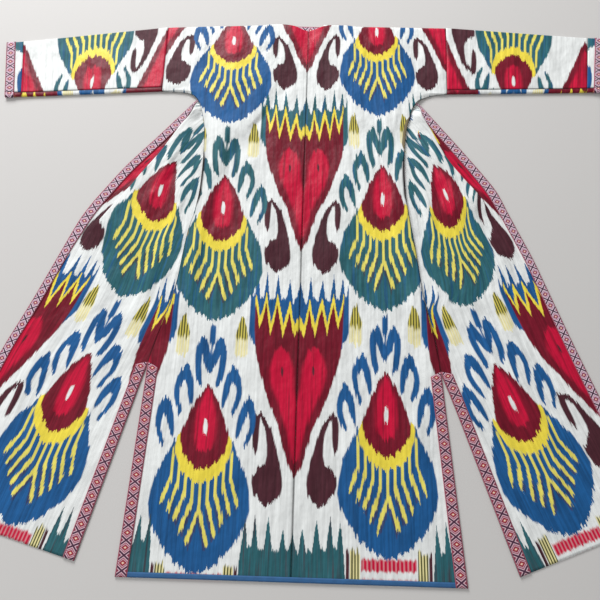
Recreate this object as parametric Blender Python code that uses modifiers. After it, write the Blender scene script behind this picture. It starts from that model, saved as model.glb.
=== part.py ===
"""An ikat robe lying flat with its back up, sleeves out and both fronts opened to the sides.

Plan sizes are in loom widths: the cloth is woven narrow, and each body panel is one loom width.
x is measured out from the centre seam and y down from the shoulder line, the same on both sides.
Heights are in metres. Every panel is a wall through sections that run across the cloth.
"""

import math
from collections import namedtuple

import bmesh
import bpy
import numpy as np

# Cloth
LOOM = 0.353  # metres, selvedge to selvedge
LENGTH = 3.75  # shoulder to hem
WALL = 0.0015
GAP = 0.0003  # metres between pieces at a seam
ROLL = 0.0020  # metres, radius of the cloth's middle where it turns back on itself
FLOOR = WALL / 2  # height of the middle of a wall that lies on the floor
LAYER = 2 * ROLL  # rise from one layer to the next where a fold stacks them

# Trim
BRAID = 0.065
BRAID_WALL = 0.0012
BINDING = 0.027
SLIT_MITRE = 0.035  # how much shorter the inner edge of a slit braid is at its pointed top

# Neck
NECK_HALF = 0.14
NECK_DIP = 0.052
NECK_FADE = 0.16
NECK_EDGE = (0.26, 0.02)  # where the open front edge starts under the back
NECK_BRAID_HALF = 0.100

# Sleeve
SLEEVE_HOLLOW = 0.0030  # metres between the two layers
SEAM_BACK = 0.030  # the underarm seam lies this far up from the lower edge
SLEEVE_ROWS = 11  # sections of its main piece
CUFF_RAMP = 0.12  # length over which the sleeve rises so that the braid fits under it

# Back over the folded fronts
CREST_MARGIN = 0.020
CREST_RUN = 0.11
EDGE_RUN = 0.050
EDGE_START = 0.70  # how far down the front its open edge comes out from under the back
UNDERARM_TURN = namedtuple("Run", "start run")(0.45, 0.30)

Arm = namedtuple("Arm", "top low cuff_top cuff_low seam")
Fold = namedtuple("Fold", "down cut flap_turn roll")
Pleat = namedtuple("Pleat", "share strip deep turn")
Ridge = namedtuple("Ridge", "x0 y0 x1 y1 high wide")
Side = namedtuple("Side", "name sign arm side_line front_edge front_slit pleat_end ridges_back ridges_front")

# The armhole and cuff, each from its upper to its lower end, and how far out the end strip is sewn on
ARM_LEFT = Arm((1.035, 0.050), (1.020, 0.615), (2.195, 0.234), (2.120, 0.700), 1.055)
ARM_RIGHT = Arm((1.012, -0.005), (0.990, 0.580), (2.160, 0.066), (2.088, 0.532), 1.035)

# Shares of the armhole at which sections start, and how far down the centre seam each ends
ARMHOLE_ROWS = ((0.0, 0.0), (0.045, 0.030), (0.25, 0.13), (0.5, 0.25), (0.75, 0.37), (1.0, 0.47))

# Side seam below the armhole: y at the centre seam, then x and y at the side
SIDE_LEFT = (
    (0.530, 0.940, 0.617), (0.590, 0.865, 0.622), (0.650, 0.800, 0.645), (0.715, 0.752, 0.705),
    (0.800, 0.722, 0.800), (0.920, 0.697, 0.920), (1.060, 0.688, 1.060), (1.220, 0.684, 1.220),
    (1.380, 0.687, 1.380), (1.540, 0.704, 1.540), (1.700, 0.737, 1.700), (1.820, 0.752, 1.820),
    (1.920, 0.762, 1.920), (2.020, 0.772, 2.020), (2.120, 0.790, 2.120), (2.220, 0.812, 2.220),
    (2.320, 0.838, 2.320), (2.440, 0.872, 2.440), (2.572, 0.900, 2.572),
)
SIDE_RIGHT = (
    (0.530, 0.915, 0.590), (0.590, 0.850, 0.612), (0.650, 0.792, 0.645), (0.715, 0.750, 0.705),
    (0.800, 0.718, 0.800), (0.920, 0.692, 0.920), (1.060, 0.678, 1.060), (1.220, 0.672, 1.220),
    (1.380, 0.676, 1.380), (1.540, 0.692, 1.540), (1.700, 0.715, 1.700), (1.820, 0.732, 1.820),
    (1.920, 0.744, 1.920), (2.020, 0.756, 2.020), (2.120, 0.772, 2.120), (2.220, 0.792, 2.220),
    (2.320, 0.815, 2.320), (2.440, 0.838, 2.440), (2.580, 0.855, 2.580),
)
ARMPIT_ROW = len(ARMHOLE_ROWS) + 3  # the section that starts at the armpit
SLIT_ROWS = 7  # sections between the top of the slit and the hem
BACK_HEM_CORNER = 0.944

# Open front edge from the armpit to the hem corner, x and y
EDGE_LEFT = (
    (0.777, 0.690), (1.011, 0.990), (1.194, 1.217), (1.372, 1.485), (1.458, 1.648), (1.584, 1.993),
    (1.660, 2.199), (1.800, 2.547), (2.066, 3.432),
)
EDGE_RIGHT = (
    (0.800, 0.680), (1.067, 1.039), (1.271, 1.329), (1.368, 1.571), (1.475, 1.830), (1.567, 2.102),
    (1.661, 2.379), (1.783, 2.716), (2.045, 3.372),
)

# Across the front at each distance down it: the width it was cut to, and how it turns back under itself
FOLDS = (
    Fold(0.00, 1.06, 180, 1.0), Fold(0.47, 1.06, 180, 1.0), Fold(0.53, 0.97, 180, 1.0),
    Fold(0.59, 0.90, 180, 1.0), Fold(0.65, 0.84, 180, 1.0), Fold(0.71, 0.78, 180, 1.0),
    Fold(1.22, 0.775, 180, 1.0), Fold(1.70, 0.79, 180, 1.0), Fold(1.92, 0.80, 180, 0.9),
    Fold(2.12, 0.80, 180, 0.7), Fold(2.22, 0.81, 150, 0.6), Fold(2.32, 0.82, 90, 0.5),
    Fold(2.44, 0.83, 25, 0.4), Fold(2.50, 0.83, 0, 0.4), Fold(3.80, 0.93, 0, 0.4),
)
LEAST_FLAP = 0.0012
FLAP_CLEAR = 0.003  # metres that a flap runs level past the open edge below it
FLAP_SETTLE = 0.036  # metres in which it then comes down to the floor
FLAT_TURN = 20  # below this turn the two edges lie side by side

# The pleat beside the open edge, along its run from the armpit to where it closes
PLEATS = (
    Pleat(0.00, 0.020, 0.000, 0), Pleat(0.08, 0.045, 0.020, 110), Pleat(0.16, 0.070, 0.050, 180),
    Pleat(0.28, 0.095, 0.090, 180), Pleat(0.45, 0.135, 0.090, 180), Pleat(0.62, 0.150, 0.070, 180),
    Pleat(0.80, 0.142, 0.040, 180), Pleat(0.91, 0.125, 0.014, 150), Pleat(1.00, 0.105, 0.004, 70),
    Pleat(1.10, 0.090, 0.002, 0), Pleat(4.00, 0.090, 0.002, 0),
)
PLEAT_START = 0.71
PLEAT_REST = 0.15  # share of its roll that an unturned pleat keeps, so that its points stay apart

# Soft folds that fan out from the armpits and run down beside the side seams
RIDGES_BACK = (
    Ridge(0.66, 0.66, 0.52, 1.30, 0.0040, 0.055),
    Ridge(0.56, 0.34, 0.34, 0.92, 0.0025, 0.050),
    Ridge(0.66, 1.45, 0.70, 2.45, 0.0040, 0.045),
    Ridge(0.20, 1.10, 0.24, 2.00, 0.0020, 0.060),
    Ridge(0.70, 2.70, 0.62, 3.60, 0.0035, 0.070),
    Ridge(0.26, 2.60, 0.22, 3.70, 0.0025, 0.070),
)
RIDGES_FRONT = (
    Ridge(0.82, 0.98, 1.10, 1.90, 0.0040, 0.045),
    Ridge(0.76, 1.20, 0.92, 2.30, 0.0035, 0.045),
    Ridge(1.20, 2.20, 1.40, 3.40, 0.0030, 0.070),
    Ridge(1.45, 1.95, 1.72, 3.20, 0.0035, 0.070),
)

LEFT = Side("left", -1, ARM_LEFT, SIDE_LEFT, EDGE_LEFT, (1.174, 3.679), 1.95, RIDGES_BACK, RIDGES_FRONT)
RIGHT = Side("right", 1, ARM_RIGHT, SIDE_RIGHT, EDGE_RIGHT, (1.225, 3.686), 1.66, RIDGES_BACK, RIDGES_FRONT)

# Points across each part of a front section
ACROSS = namedtuple("Across", "braid strip roll back top flap")(1, 1, 4, 1, 12, 6)

Finish = namedtuple("Finish", "colour roughness")
FINISHES = {
    "ikat_silk": Finish((0.56, 0.45, 0.42), 0.45),
    "woven_braid": Finish((0.42, 0.16, 0.22), 0.75),
    "hem_cloth": Finish((0.04, 0.14, 0.33), 0.7),
}


def smooth(share):
    """Rises from 0 to 1 with a flat start and a flat end."""
    share = min(max(share, 0.0), 1.0)
    return share * share * (3 - 2 * share)


def lookup(rows, key):
    """The table row at this key, worked out between the two nearest ones."""
    keys = [row[0] for row in rows]
    return type(rows[0])(*(float(np.interp(key, keys, column)) for column in zip(*rows)))


def ridge_height(ridges, x, y):
    """Height of the soft folds at a place on a panel."""
    total = 0.0
    for ridge in ridges:
        run = np.array((ridge.x1 - ridge.x0, ridge.y1 - ridge.y0))
        along = float(np.dot((x - ridge.x0, y - ridge.y0), run) / np.dot(run, run))
        inside = min(max(along, 0.0), 1.0)
        off = math.hypot(x - ridge.x0 - inside * run[0], y - ridge.y0 - inside * run[1])
        total += ridge.high * math.sin(math.pi * inside) * math.exp(-((off / ridge.wide) ** 2))
    return total


def armhole_point(side, share):
    top, low = np.array(side.arm.top), np.array(side.arm.low)
    return top + (low - top) * share


def body_rows(side):
    """Both ends of each section down to the slit: y at the centre seam, x and y at the side."""
    rows = [(middle, *armhole_point(side, share)) for share, middle in ARMHOLE_ROWS]
    return rows + list(side.side_line)


def slit_points(start, end):
    """Section ends from just below the top of a slit to the hem."""
    for step in range(1, SLIT_ROWS + 1):
        yield tuple(np.array(start) + (np.array(end) - np.array(start)) * step / SLIT_ROWS)


def along_line(points, distance):
    """The point this far along a line of points."""
    points = np.array(points, float)
    lengths = np.concatenate([[0], np.cumsum(np.hypot(*np.diff(points, axis=0).T))])
    return np.array([np.interp(distance, lengths, column) for column in points.T])


def line_length(points):
    return float(np.hypot(*np.diff(np.array(points, float), axis=0).T).sum())


def front_sections(side):
    """For each section of a front: how far down the cloth it is, its side end and its open end."""
    rows = body_rows(side)
    ends = [np.array(row[1:]) for row in rows]
    downs = [row[0] for row in rows]
    for point in slit_points(ends[-1], side.front_slit):
        ends.append(np.array(point))
        downs.append(0.0)
    for row in range(ARMPIT_ROW + 1, len(ends)):
        downs[row] = downs[row - 1] + float(np.hypot(*(ends[row] - ends[row - 1])))
    neck = np.array(NECK_EDGE)
    armpit = np.array(side.front_edge[0])
    sections = []
    for down, end in zip(downs, ends):
        share = (down - EDGE_START) / (downs[-1] - EDGE_START)
        if share >= 0:
            open_end = along_line(side.front_edge, share * line_length(side.front_edge))
        else:
            open_end = neck + (armpit - neck) * down / EDGE_START
        sections.append((down, end, open_end))
    return sections


def section_frames(sections):
    """For each section, the direction outwards across the cloth and how far out its open edge is."""
    runs = [open_end - end for _, end, open_end in sections]
    first = ARMPIT_ROW + 1
    armpit_turn = math.atan2(-runs[first][1], runs[first][0])
    frames = []
    for index, ((down, _, _), run) in enumerate(zip(sections, runs)):
        if index >= first:
            frames.append((run / np.hypot(*run), float(np.hypot(*run))))
            continue
        turn = armpit_turn * smooth((down - UNDERARM_TURN.start) / UNDERARM_TURN.run)
        direction = np.array((math.cos(turn), -math.sin(turn)))
        frames.append((direction, float(np.dot(run, direction))))
    return frames


def arc(start, turn, length, share):
    """Level and rise along a stretch of cloth that turns evenly, as far as this share of it."""
    if abs(turn) < 1e-6:
        return length * share * math.cos(start), length * share * math.sin(start)
    angle = start + turn * share
    size = length / turn
    return size * (math.sin(angle) - math.sin(start)), size * (math.cos(start) - math.cos(angle))


def front_profile(side, down, out):
    """Across one front section, from its open edge: (distance out from the side edge, height).

    The cloth runs inwards on the floor, turns back and forward in the pleat, runs on to its hidden
    fold, turns over it, and comes back out above itself to the side seam.
    """
    fold = lookup(FOLDS, down)
    pleat = lookup(PLEATS, (down - PLEAT_START) / (side.pleat_end - PLEAT_START))
    tilt, turn = math.radians(pleat.turn), math.radians(fold.flap_turn)
    half = math.pi * ROLL
    pleat_roll = half * max(pleat.turn / 180, PLEAT_REST)
    flap_roll = half * fold.roll
    deep = pleat.deep * LOOM
    span = out * LOOM
    spare = fold.cut * LOOM - span - 2 * deep - 2 * pleat_roll * pleat.turn / 180 - flap_roll
    folded = fold.flap_turn / 180
    flap = max(spare / 2 * smooth(folded * 2 - 1), LEAST_FLAP)
    strip = max(pleat.strip * LOOM, BRAID * LOOM) if down < PLEAT_START else pleat.strip * LOOM
    first = (strip + deep) if pleat.turn > 90 else strip

    # Lengths and turns in order; the plain top stretch takes whatever closes the section
    parts = [
        (min(BRAID * LOOM, first * 0.6), 0.0, ACROSS.braid),
        (first - min(BRAID * LOOM, first * 0.6), 0.0, ACROSS.strip),
        (pleat_roll, tilt, ACROSS.roll),
        (max(deep, 0.001), 0.0, ACROSS.back),
        (pleat_roll, -tilt, ACROSS.roll),
        (None, 0.0, ACROSS.top),
        (flap_roll, turn, ACROSS.roll),
        (flap, 0.0, ACROSS.flap),
    ]
    heading = reached = 0.0
    for length, bend, _ in parts:
        if length is not None:
            reached += arc(heading, bend, length, 1.0)[0]
        heading += bend
    top = span - reached

    points = [(span, FLOOR)]
    heading, along, height = 0.0, span, FLOOR
    for place, (length, bend, pieces) in enumerate(parts):
        is_top = length is None
        length = top if is_top else length
        fall = height - FLOOR
        edge_fall = max((span - strip) * 0.9, 0.02)
        stops = np.arange(1, pieces + 1) / pieces
        is_long_flap = place == len(parts) - 1 and span < 0
        if is_long_flap:
            stops = flap_stops(span - along, length)
        for stop in stops:
            level, rise = arc(heading, bend, length, stop)
            if is_top:
                rise -= fall * smooth(length * stop / edge_fall)
            if is_long_flap:
                rise -= fall * smooth((along - level - span - FLAP_CLEAR) / FLAP_SETTLE)
            points.append((along - level, height + rise))
        along, height = points[-1]
        heading += bend
    return points


def flap_stops(covered, length):
    """Shares of the flap at which it passes the open edge below it and settles on the floor."""
    past = covered + FLAP_CLEAR
    rest = length - past
    if rest > FLAP_SETTLE * 1.5:
        middle = (past + FLAP_SETTLE + length) / 2
        stops = (covered / 2, past, past + FLAP_SETTLE / 2, past + FLAP_SETTLE, middle, length)
    else:
        stops = (covered / 2, past, past + rest / 4, past + rest / 2, past + rest * 0.75, length)
    return np.array(stops) / length


def front_points(side):
    """Middle of the front's wall, a row of places for each section: (x, y, height)."""
    rows = []
    sections = front_sections(side)
    for (down, end, _), (direction, out) in zip(sections, section_frames(sections)):
        row = []
        for along, height in front_profile(side, down, out):
            x, y = end + direction * (along / LOOM)
            if along > 0.02 * LOOM and height < FLOOR + LAYER * 2.5:
                share = smooth(along / (0.15 * LOOM)) * smooth((out * LOOM - along) / (0.2 * LOOM))
                height += ridge_height(side.ridges_front, x, y) * share
            row.append((x, y, height))
        rows.append(row)
    return rows


def hidden_fold(rows):
    """The line, in plan, of the fold that the back has to pass over."""
    line = [min(row, key=lambda point: point[0])[:2] for row in rows[: body_row_count()]]
    return np.array(line)


def body_row_count():
    return len(ARMHOLE_ROWS) + len(SIDE_LEFT)


def neck_dip(x, middle):
    return NECK_DIP * max(0.0, 1 - x / NECK_HALF) * (1 - smooth(middle / NECK_FADE))


def back_heights(side, front):
    """For each section of the back: height over the hidden fold, height at the side, and how far in
    the side edge ends so that it clears the front's edge where the two lie side by side."""
    clear = WALL + GAP
    heights = []
    for index, (down, _, _) in enumerate(front_sections(side)):
        turn = lookup(FOLDS, down).flap_turn if index < body_row_count() else 0
        rest = max(point[2] for point in front[index][-ACROSS.flap - ACROSS.roll:])
        inset = GAP + WALL / 2 * math.sin(math.radians(min(turn, 90)))
        if turn < FLAT_TURN:
            heights.append((FLOOR, FLOOR, inset))
        elif 0 < index < len(ARMHOLE_ROWS):
            heights.append((rest + clear, FLOOR + WALL + SLEEVE_HOLLOW, 0.0))
        else:
            inset = 0.0 if turn > 175 else inset
            heights.append((rest + clear, front[index][-1][2] + clear, inset))
    return heights


def back_points(side, front):
    """Middle of the back's wall, a row for each section from the centre seam to the side."""
    fold_line = hidden_fold(front)
    rows = body_rows(side)
    for x, y in slit_points(rows[-1][1:], (BACK_HEM_CORNER, LENGTH)):
        rows.append((y, x, y))
    open_ends = [float(row[0][0]) for row in front]
    grid = []
    for index, ((middle, side_x, side_y), height) in enumerate(zip(rows, back_heights(side, front))):
        crest_up, side_up, inset = height
        side_x -= inset / LOOM
        open_x = open_ends[index]

        def down_at(x):
            return middle + (side_y - middle) * (x / side_x) ** 1.6 + neck_dip(x, middle)

        crest = side_x - EDGE_RUN
        for x in np.linspace(0.02, crest, 80):
            if x >= np.interp(down_at(x), fold_line[:, 1], fold_line[:, 0]) - CREST_MARGIN:
                crest = x
                break
        foot = max(crest - CREST_RUN, 0.25 * crest)
        centre_up = FLOOR + (BRAID_WALL + GAP) * (1 - smooth((middle - 0.05) / 0.15))
        row = []
        for x in back_columns(foot, crest, open_x, side_x):
            up = centre_up + (crest_up - centre_up) * smooth((x - foot) / (crest - foot))
            if index == 0:
                up = min(up, shoulder_height(front[0], x) + WALL + GAP)
            elif index < len(ARMHOLE_ROWS):
                up += (side_up - crest_up) * smooth((x - open_x) / (side_x - EDGE_RUN - open_x))
            else:
                up += (side_up - crest_up) * smooth((x - side_x + EDGE_RUN) / EDGE_RUN)
            away = smooth((side_x - x) / 0.10) * smooth(x / 0.10) * smooth((middle - 0.05) / 0.1)
            up += ridge_height(side.ridges_back, x, down_at(x)) * away
            row.append((x, down_at(x), up))
        grid.append(row)
    return grid


def back_columns(foot, crest, open_x, side_x):
    """Places across the back, close together where it climbs over what is folded below it."""
    seam = GAP / LOOM / 2
    braid_x = side_x - BRAID
    climb = [foot * 0.25, foot * 0.5, foot * 0.75, foot, (foot + crest) / 2, crest]
    settle = FLAP_SETTLE / LOOM
    beyond = [open_x + FLAP_CLEAR / LOOM + settle * share for share in (0, 0.5, 1)]
    beyond.insert(0, (crest + beyond[0]) / 2)
    if beyond[-1] >= braid_x:
        beyond = [crest + (braid_x - crest) * share for share in (0.25, 0.45, 0.64, 0.82)]
    if crest > braid_x - 0.1:
        climb = [foot * 0.2, foot * 0.4, foot * 0.6, foot * 0.8, foot]
        beyond = list(np.linspace(foot, braid_x, 7)[1:-1])
    return [seam, *climb, *beyond, braid_x, side_x - BRAID / 2, side_x]


def shoulder_height(row, x):
    """Height of the front's shoulder section at this x, as its flap has it."""
    flap = row[-ACROSS.flap - 1:]
    return float(np.interp(x, [point[0] for point in flap], [point[2] for point in flap]))


def sleeve_points(side, distances):
    """Middle of the sleeve's wall: a section at each distance from the armhole, round from the seam."""
    arm = {key: np.array(value) for key, value in side.arm._asdict().items()}
    bend = (WALL + SLEEVE_HOLLOW) / 2 / LOOM
    whole = sleeve_length(side)
    rows = []
    for distance in distances:
        share = distance / whole
        top = arm["top"] + (arm["cuff_top"] - arm["top"]) * share
        low = arm["low"] + (arm["cuff_low"] - arm["low"]) * share
        length = float(np.hypot(*(low - top)))
        down = (low - top) / length
        lift = (BRAID_WALL + GAP) * smooth((distance - whole + BRAID + CUFF_RAMP) / CUFF_RAMP)
        section = []
        for along, height in sleeve_outline(length, bend):
            section.append((*(top + down * along), FLOOR + lift + height))
        rows.append(section)
    return rows


def sleeve_length(side):
    return float(np.hypot(*(np.array(side.arm.cuff_top) - side.arm.top)))


def sleeve_outline(length, bend):
    """Round the flattened sleeve from one side of its seam to the other: (down from the top, height)."""
    rise = WALL + SLEEVE_HOLLOW
    seam = length - SEAM_BACK
    points = [(along, rise) for along in np.linspace(seam, bend, 7)]
    points += [turned(bend, math.pi / 2 + math.pi * step / 5, bend, rise) for step in range(1, 5)]
    points += [(along, 0.0) for along in np.linspace(bend, length - bend, 6)]
    points += [turned(length - bend, -math.pi / 2 + math.pi * step / 5, bend, rise) for step in range(1, 5)]
    points += [(length - bend, rise), (seam + GAP / LOOM, rise)]
    return points


def turned(centre, angle, bend, rise):
    """A point on the round edge of the flattened sleeve."""
    return centre + bend * math.cos(angle), rise / 2 + rise / 2 * math.sin(angle)


def place_points(side, rows):
    """Plan places and heights as world points, x mirrored for the left side."""
    grid = np.array(rows, float)
    return np.stack(
        [side.sign * grid[..., 0] * LOOM, (LENGTH / 2 - grid[..., 1]) * LOOM, grid[..., 2]], axis=-1
    )


def raised(grid, distance):
    """The grid moved out along its own normals, so that what is made from it lies on the panel."""
    across = np.gradient(grid, axis=1)
    along = np.gradient(grid, axis=0)
    normal = np.cross(across, along)
    normal /= np.linalg.norm(normal, axis=-1, keepdims=True)
    return grid + normal * distance


def upward(grid, distance):
    """As raised, on the side that makes the grid's highest point higher."""
    moved = raised(grid, distance)
    return moved if moved[..., 2].max() > grid[..., 2].max() else raised(grid, -distance)


def make_material(name):
    finish = FINISHES[name]
    material = bpy.data.materials.new(name)
    material.use_nodes = True
    shader = material.node_tree.nodes["Principled BSDF"]
    shader.inputs["Base Color"].default_value = (*finish.colour, 1.0)
    shader.inputs["Roughness"].default_value = finish.roughness
    shader.inputs["Metallic"].default_value = 0.0
    material.diffuse_color = (*finish.colour, 1.0)
    return material


def make_sheet(name, grid, material, wall, collection):
    """A wall of even thickness with the grid as its middle."""
    mesh = bmesh.new()
    rows, columns = grid.shape[:2]
    points = [[mesh.verts.new(grid[row, column]) for column in range(columns)] for row in range(rows)]
    for row in range(rows - 1):
        for column in range(columns - 1):
            a, b = points[row][column], points[row][column + 1]
            c, d = points[row + 1][column + 1], points[row + 1][column]
            mesh.faces.new((a, b, c))
            mesh.faces.new((a, c, d))
    data = bpy.data.meshes.new(name)
    mesh.to_mesh(data)
    mesh.free()
    data.materials.append(material)
    data.polygons.foreach_set("use_smooth", [True] * len(data.polygons))
    sheet = bpy.data.objects.new(name, data)
    collection.objects.link(sheet)
    solid = sheet.modifiers.new("Wall", "SOLIDIFY")
    solid.thickness = wall
    solid.offset = 0.0
    solid.use_rim = True
    return sheet


def mitred(grid, outer_first):
    """A slit braid's grid with the corner away from the slit cut back at the top."""
    grid = grid.copy()
    share = SLIT_MITRE * LOOM / np.linalg.norm(grid[1, 0] - grid[0, 0])
    columns = grid.shape[1]
    for column in range(columns):
        back = column / (columns - 1) if outer_first else 1 - column / (columns - 1)
        grid[0, column] += (grid[1, column] - grid[0, column]) * share * back
    return grid


def make_side(side, materials, collection):
    """All the pieces of one side of the robe. Returns the world grid of its back."""
    silk, braid = materials["ikat_silk"], materials["woven_braid"]
    on_top = WALL / 2 + GAP + BRAID_WALL / 2
    front_rows = front_points(side)
    back_rows = back_points(side, front_rows)
    front, back = place_points(side, front_rows), place_points(side, back_rows)
    seam, whole = side.arm.seam, sleeve_length(side)
    main_piece = np.linspace(GAP / LOOM, seam, SLEEVE_ROWS)
    sleeve = place_points(side, sleeve_points(side, main_piece))
    sleeve_end = place_points(side, sleeve_points(side, (seam + GAP / LOOM, whole - BRAID, whole)))
    make_sheet(f"back_{side.name}", back, silk, WALL, collection)
    make_sheet(f"front_{side.name}", front, silk, WALL, collection)
    make_sheet(f"sleeve_{side.name}", sleeve, silk, WALL, collection)
    make_sheet(f"sleeve_end_{side.name}", sleeve_end, silk, WALL, collection)

    edge = upward(front, on_top)[:, : ACROSS.braid + 1]
    make_sheet(f"front_braid_{side.name}", edge, braid, BRAID_WALL, collection)

    slit_top = body_row_count() - 1
    back_slit = mitred(upward(back, on_top)[slit_top:, -3:], False)
    make_sheet(f"slit_braid_back_{side.name}", back_slit, braid, BRAID_WALL, collection)
    make_sheet(f"slit_braid_front_{side.name}", front_slit_grid(side, front_rows, slit_top), braid,
               BRAID_WALL, collection)

    make_sheet(f"cuff_braid_{side.name}", upward(sleeve_end, on_top)[-2:], braid, BRAID_WALL, collection)
    return back


def front_slit_grid(side, front_rows, slit_top):
    """Middle of the braid on the front's side of the slit, along the side end of each section."""
    rows = []
    for section in front_rows[slit_top:]:
        end, inner = np.array(section[-1]), np.array(section[ACROSS.braid + 1])
        run = (inner - end)[:2] / np.hypot(*(inner - end)[:2])
        rows.append([(*(end[:2] + run * BRAID * share), end[2]) for share in (0.0, 0.5, 1.0)])
    return mitred(upward(place_points(side, rows), WALL / 2 + GAP + BRAID_WALL / 2), True)


def neck_grid():
    """Middle of the braid across the neck, on the floor under the back's dip."""
    rows = [[(x, y, BRAID_WALL / 2) for x in np.linspace(-NECK_BRAID_HALF, NECK_BRAID_HALF, 7)]
            for y in (0.004, 0.004 + BRAID)]
    return place_points(RIGHT, rows)


def hem_grid(left, right):
    """Middle of the binding, along the last stretch of both back panels."""
    lift = WALL / 2 + GAP + BRAID_WALL / 2
    ends = []
    for back in (left, right):
        high, low = upward(back, lift)[-2:, :-2]
        share = BINDING * LOOM / np.linalg.norm(low[0] - high[0])
        strip = np.stack([low + (high - low) * share, low])
        strip[:, -1, 0] -= np.sign(strip[:, -1, 0]) * GAP
        ends.append(strip)
    return np.concatenate([ends[0][:, ::-1], ends[1]], axis=1)


def stand_on_floor(collection):
    """Moves every mesh so that the robe's box is centred on the origin and rests at height 0."""
    bpy.context.view_layer.update()
    graph = bpy.context.evaluated_depsgraph_get()
    corners = []
    for piece in collection.objects:
        mesh = piece.evaluated_get(graph).to_mesh()
        corners += [tuple(vertex.co) for vertex in mesh.vertices]
    box = np.array(corners)
    low, high = box.min(axis=0), box.max(axis=0)
    shift = -np.array(((low[0] + high[0]) / 2, (low[1] + high[1]) / 2, low[2]))
    for piece in collection.objects:
        for vertex in piece.data.vertices:
            vertex.co = tuple(np.array(vertex.co) + shift)


def main():
    for leftover in list(bpy.data.objects):
        bpy.data.objects.remove(leftover, do_unlink=True)
    collection = bpy.data.collections.new("uzbek_chapan_robe")
    bpy.context.scene.collection.children.link(collection)
    materials = {name: make_material(name) for name in FINISHES}
    left = make_side(LEFT, materials, collection)
    right = make_side(RIGHT, materials, collection)
    make_sheet("neck_braid", neck_grid(), materials["woven_braid"], BRAID_WALL, collection)
    make_sheet("hem_binding", hem_grid(left, right), materials["hem_cloth"], BRAID_WALL, collection)
    stand_on_floor(collection)


main()
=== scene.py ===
"""An ikat silk robe that lies flat with its back up, sleeves out and both fronts opened to the sides.

Plan sizes are in loom widths: the cloth is woven narrow, and each body panel is one loom width.
x is measured out from the centre seam and y down from the shoulder line, the same on both sides.
Heights are in metres. Each panel is worked out as the middle of its wall, in sections across the cloth,
then refined, creased and given its thickness.
"""

from __future__ import annotations

import logging
import math
from collections.abc import Iterator, Sequence
from dataclasses import dataclass, field
from enum import Enum
from typing import Any, NamedTuple

import bmesh
import bpy
import numpy as np
from mathutils import Matrix, Vector

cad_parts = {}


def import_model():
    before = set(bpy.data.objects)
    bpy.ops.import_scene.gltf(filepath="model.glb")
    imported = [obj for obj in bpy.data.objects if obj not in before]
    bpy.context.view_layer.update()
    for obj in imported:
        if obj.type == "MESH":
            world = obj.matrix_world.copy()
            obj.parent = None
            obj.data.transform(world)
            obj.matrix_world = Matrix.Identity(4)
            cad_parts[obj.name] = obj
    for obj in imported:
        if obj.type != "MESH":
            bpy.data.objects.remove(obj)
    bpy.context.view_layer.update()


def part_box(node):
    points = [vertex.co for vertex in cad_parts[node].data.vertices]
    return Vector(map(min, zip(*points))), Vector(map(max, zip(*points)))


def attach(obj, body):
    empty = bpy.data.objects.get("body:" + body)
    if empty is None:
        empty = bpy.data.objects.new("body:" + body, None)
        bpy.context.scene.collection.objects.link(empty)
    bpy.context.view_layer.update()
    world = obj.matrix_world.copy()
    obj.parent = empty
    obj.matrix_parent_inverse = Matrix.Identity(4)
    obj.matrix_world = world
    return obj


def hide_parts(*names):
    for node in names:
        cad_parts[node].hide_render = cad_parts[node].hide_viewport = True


LOG = logging.getLogger("robe")

# Cloth
LOOM = 0.353  # metres, selvedge to selvedge
LENGTH = 3.75  # shoulder to hem
WALL = 0.0015  # what the cloth, its lining and its seam allowances take up
GAP = 0.0003  # metres between pieces at a seam
ROLL = 0.0020  # metres, radius of the cloth's middle where it turns back on itself
FLOOR = WALL / 2
LAYER = 2 * ROLL
SILK_WALL = 0.0010  # metres, the shell that stands for the cloth

# Trim
BRAID = 0.065
BRAID_WALL = 0.0012
BRAID_SHELL = 0.0009
BINDING = 0.027
SLIT_MITRE = 0.035

# Neck
NECK_HALF = 0.14
NECK_DIP = 0.052
NECK_FADE = 0.16
NECK_EDGE = (0.26, 0.02)
NECK_BRAID_HALF = 0.100

# Sleeve
SLEEVE_HOLLOW = 0.0030  # metres between the two layers
SEAM_BACK = 0.030
SLEEVE_ROWS = 11
CUFF_RAMP = 0.12

# Back over the folded fronts
CREST_MARGIN = 0.020
CREST_RUN = 0.11
EDGE_RUN = 0.050
EDGE_START = 0.70
TURN_START, TURN_RUN = 0.45, 0.30
LEAST_FLAP = 0.0012
FLAP_CLEAR = 0.003
FLAP_SETTLE = 0.036
FLAT_TURN = 20
PLEAT_START = 0.71
PLEAT_REST = 0.15
MIDDLE_LAYER = 3  # which stretch of a front's section lies between the two layers of its pleat
GATHER = 1.15

SPACING = 0.0056  # metres between the points of a finished panel


class Arm(NamedTuple):
    """The armhole and cuff, each from its upper to its lower end, and where the end strip is sewn on."""

    top: tuple[float, float]
    low: tuple[float, float]
    cuff_top: tuple[float, float]
    cuff_low: tuple[float, float]
    seam: float


class Fold(NamedTuple):
    """How wide a front was cut at a distance down it, and how it turns back under itself."""

    down: float
    cut: float
    flap_turn: float
    roll: float


class Pleat(NamedTuple):
    """The pleat beside the open edge at a share of its run: the strip outside it, its depth and turn."""

    share: float
    strip: float
    deep: float
    turn: float


class Ridge(NamedTuple):
    """A soft fold from one place to another: its height in metres and its width in loom widths."""

    x0: float
    y0: float
    x1: float
    y1: float
    high: float
    wide: float


class Bunch(NamedTuple):
    """Where the pattern's axis lies across a front, from the open edge, and how tight the rest is drawn."""

    down: float
    axis: float
    drawn: float


class SlitPoint(NamedTuple):
    """A section of the body: y at the centre seam, then x and y at the side."""

    middle: float
    x: float
    y: float


class Outline(NamedTuple):
    """A motif's inner and outer edge, from its axis, at a distance down the cloth."""

    v: float
    inner: float
    outer: float


class Held(Enum):
    """How a sheet of cloth is kept in place."""

    LAID = "laid"
    FOLDED = "folded"


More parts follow.
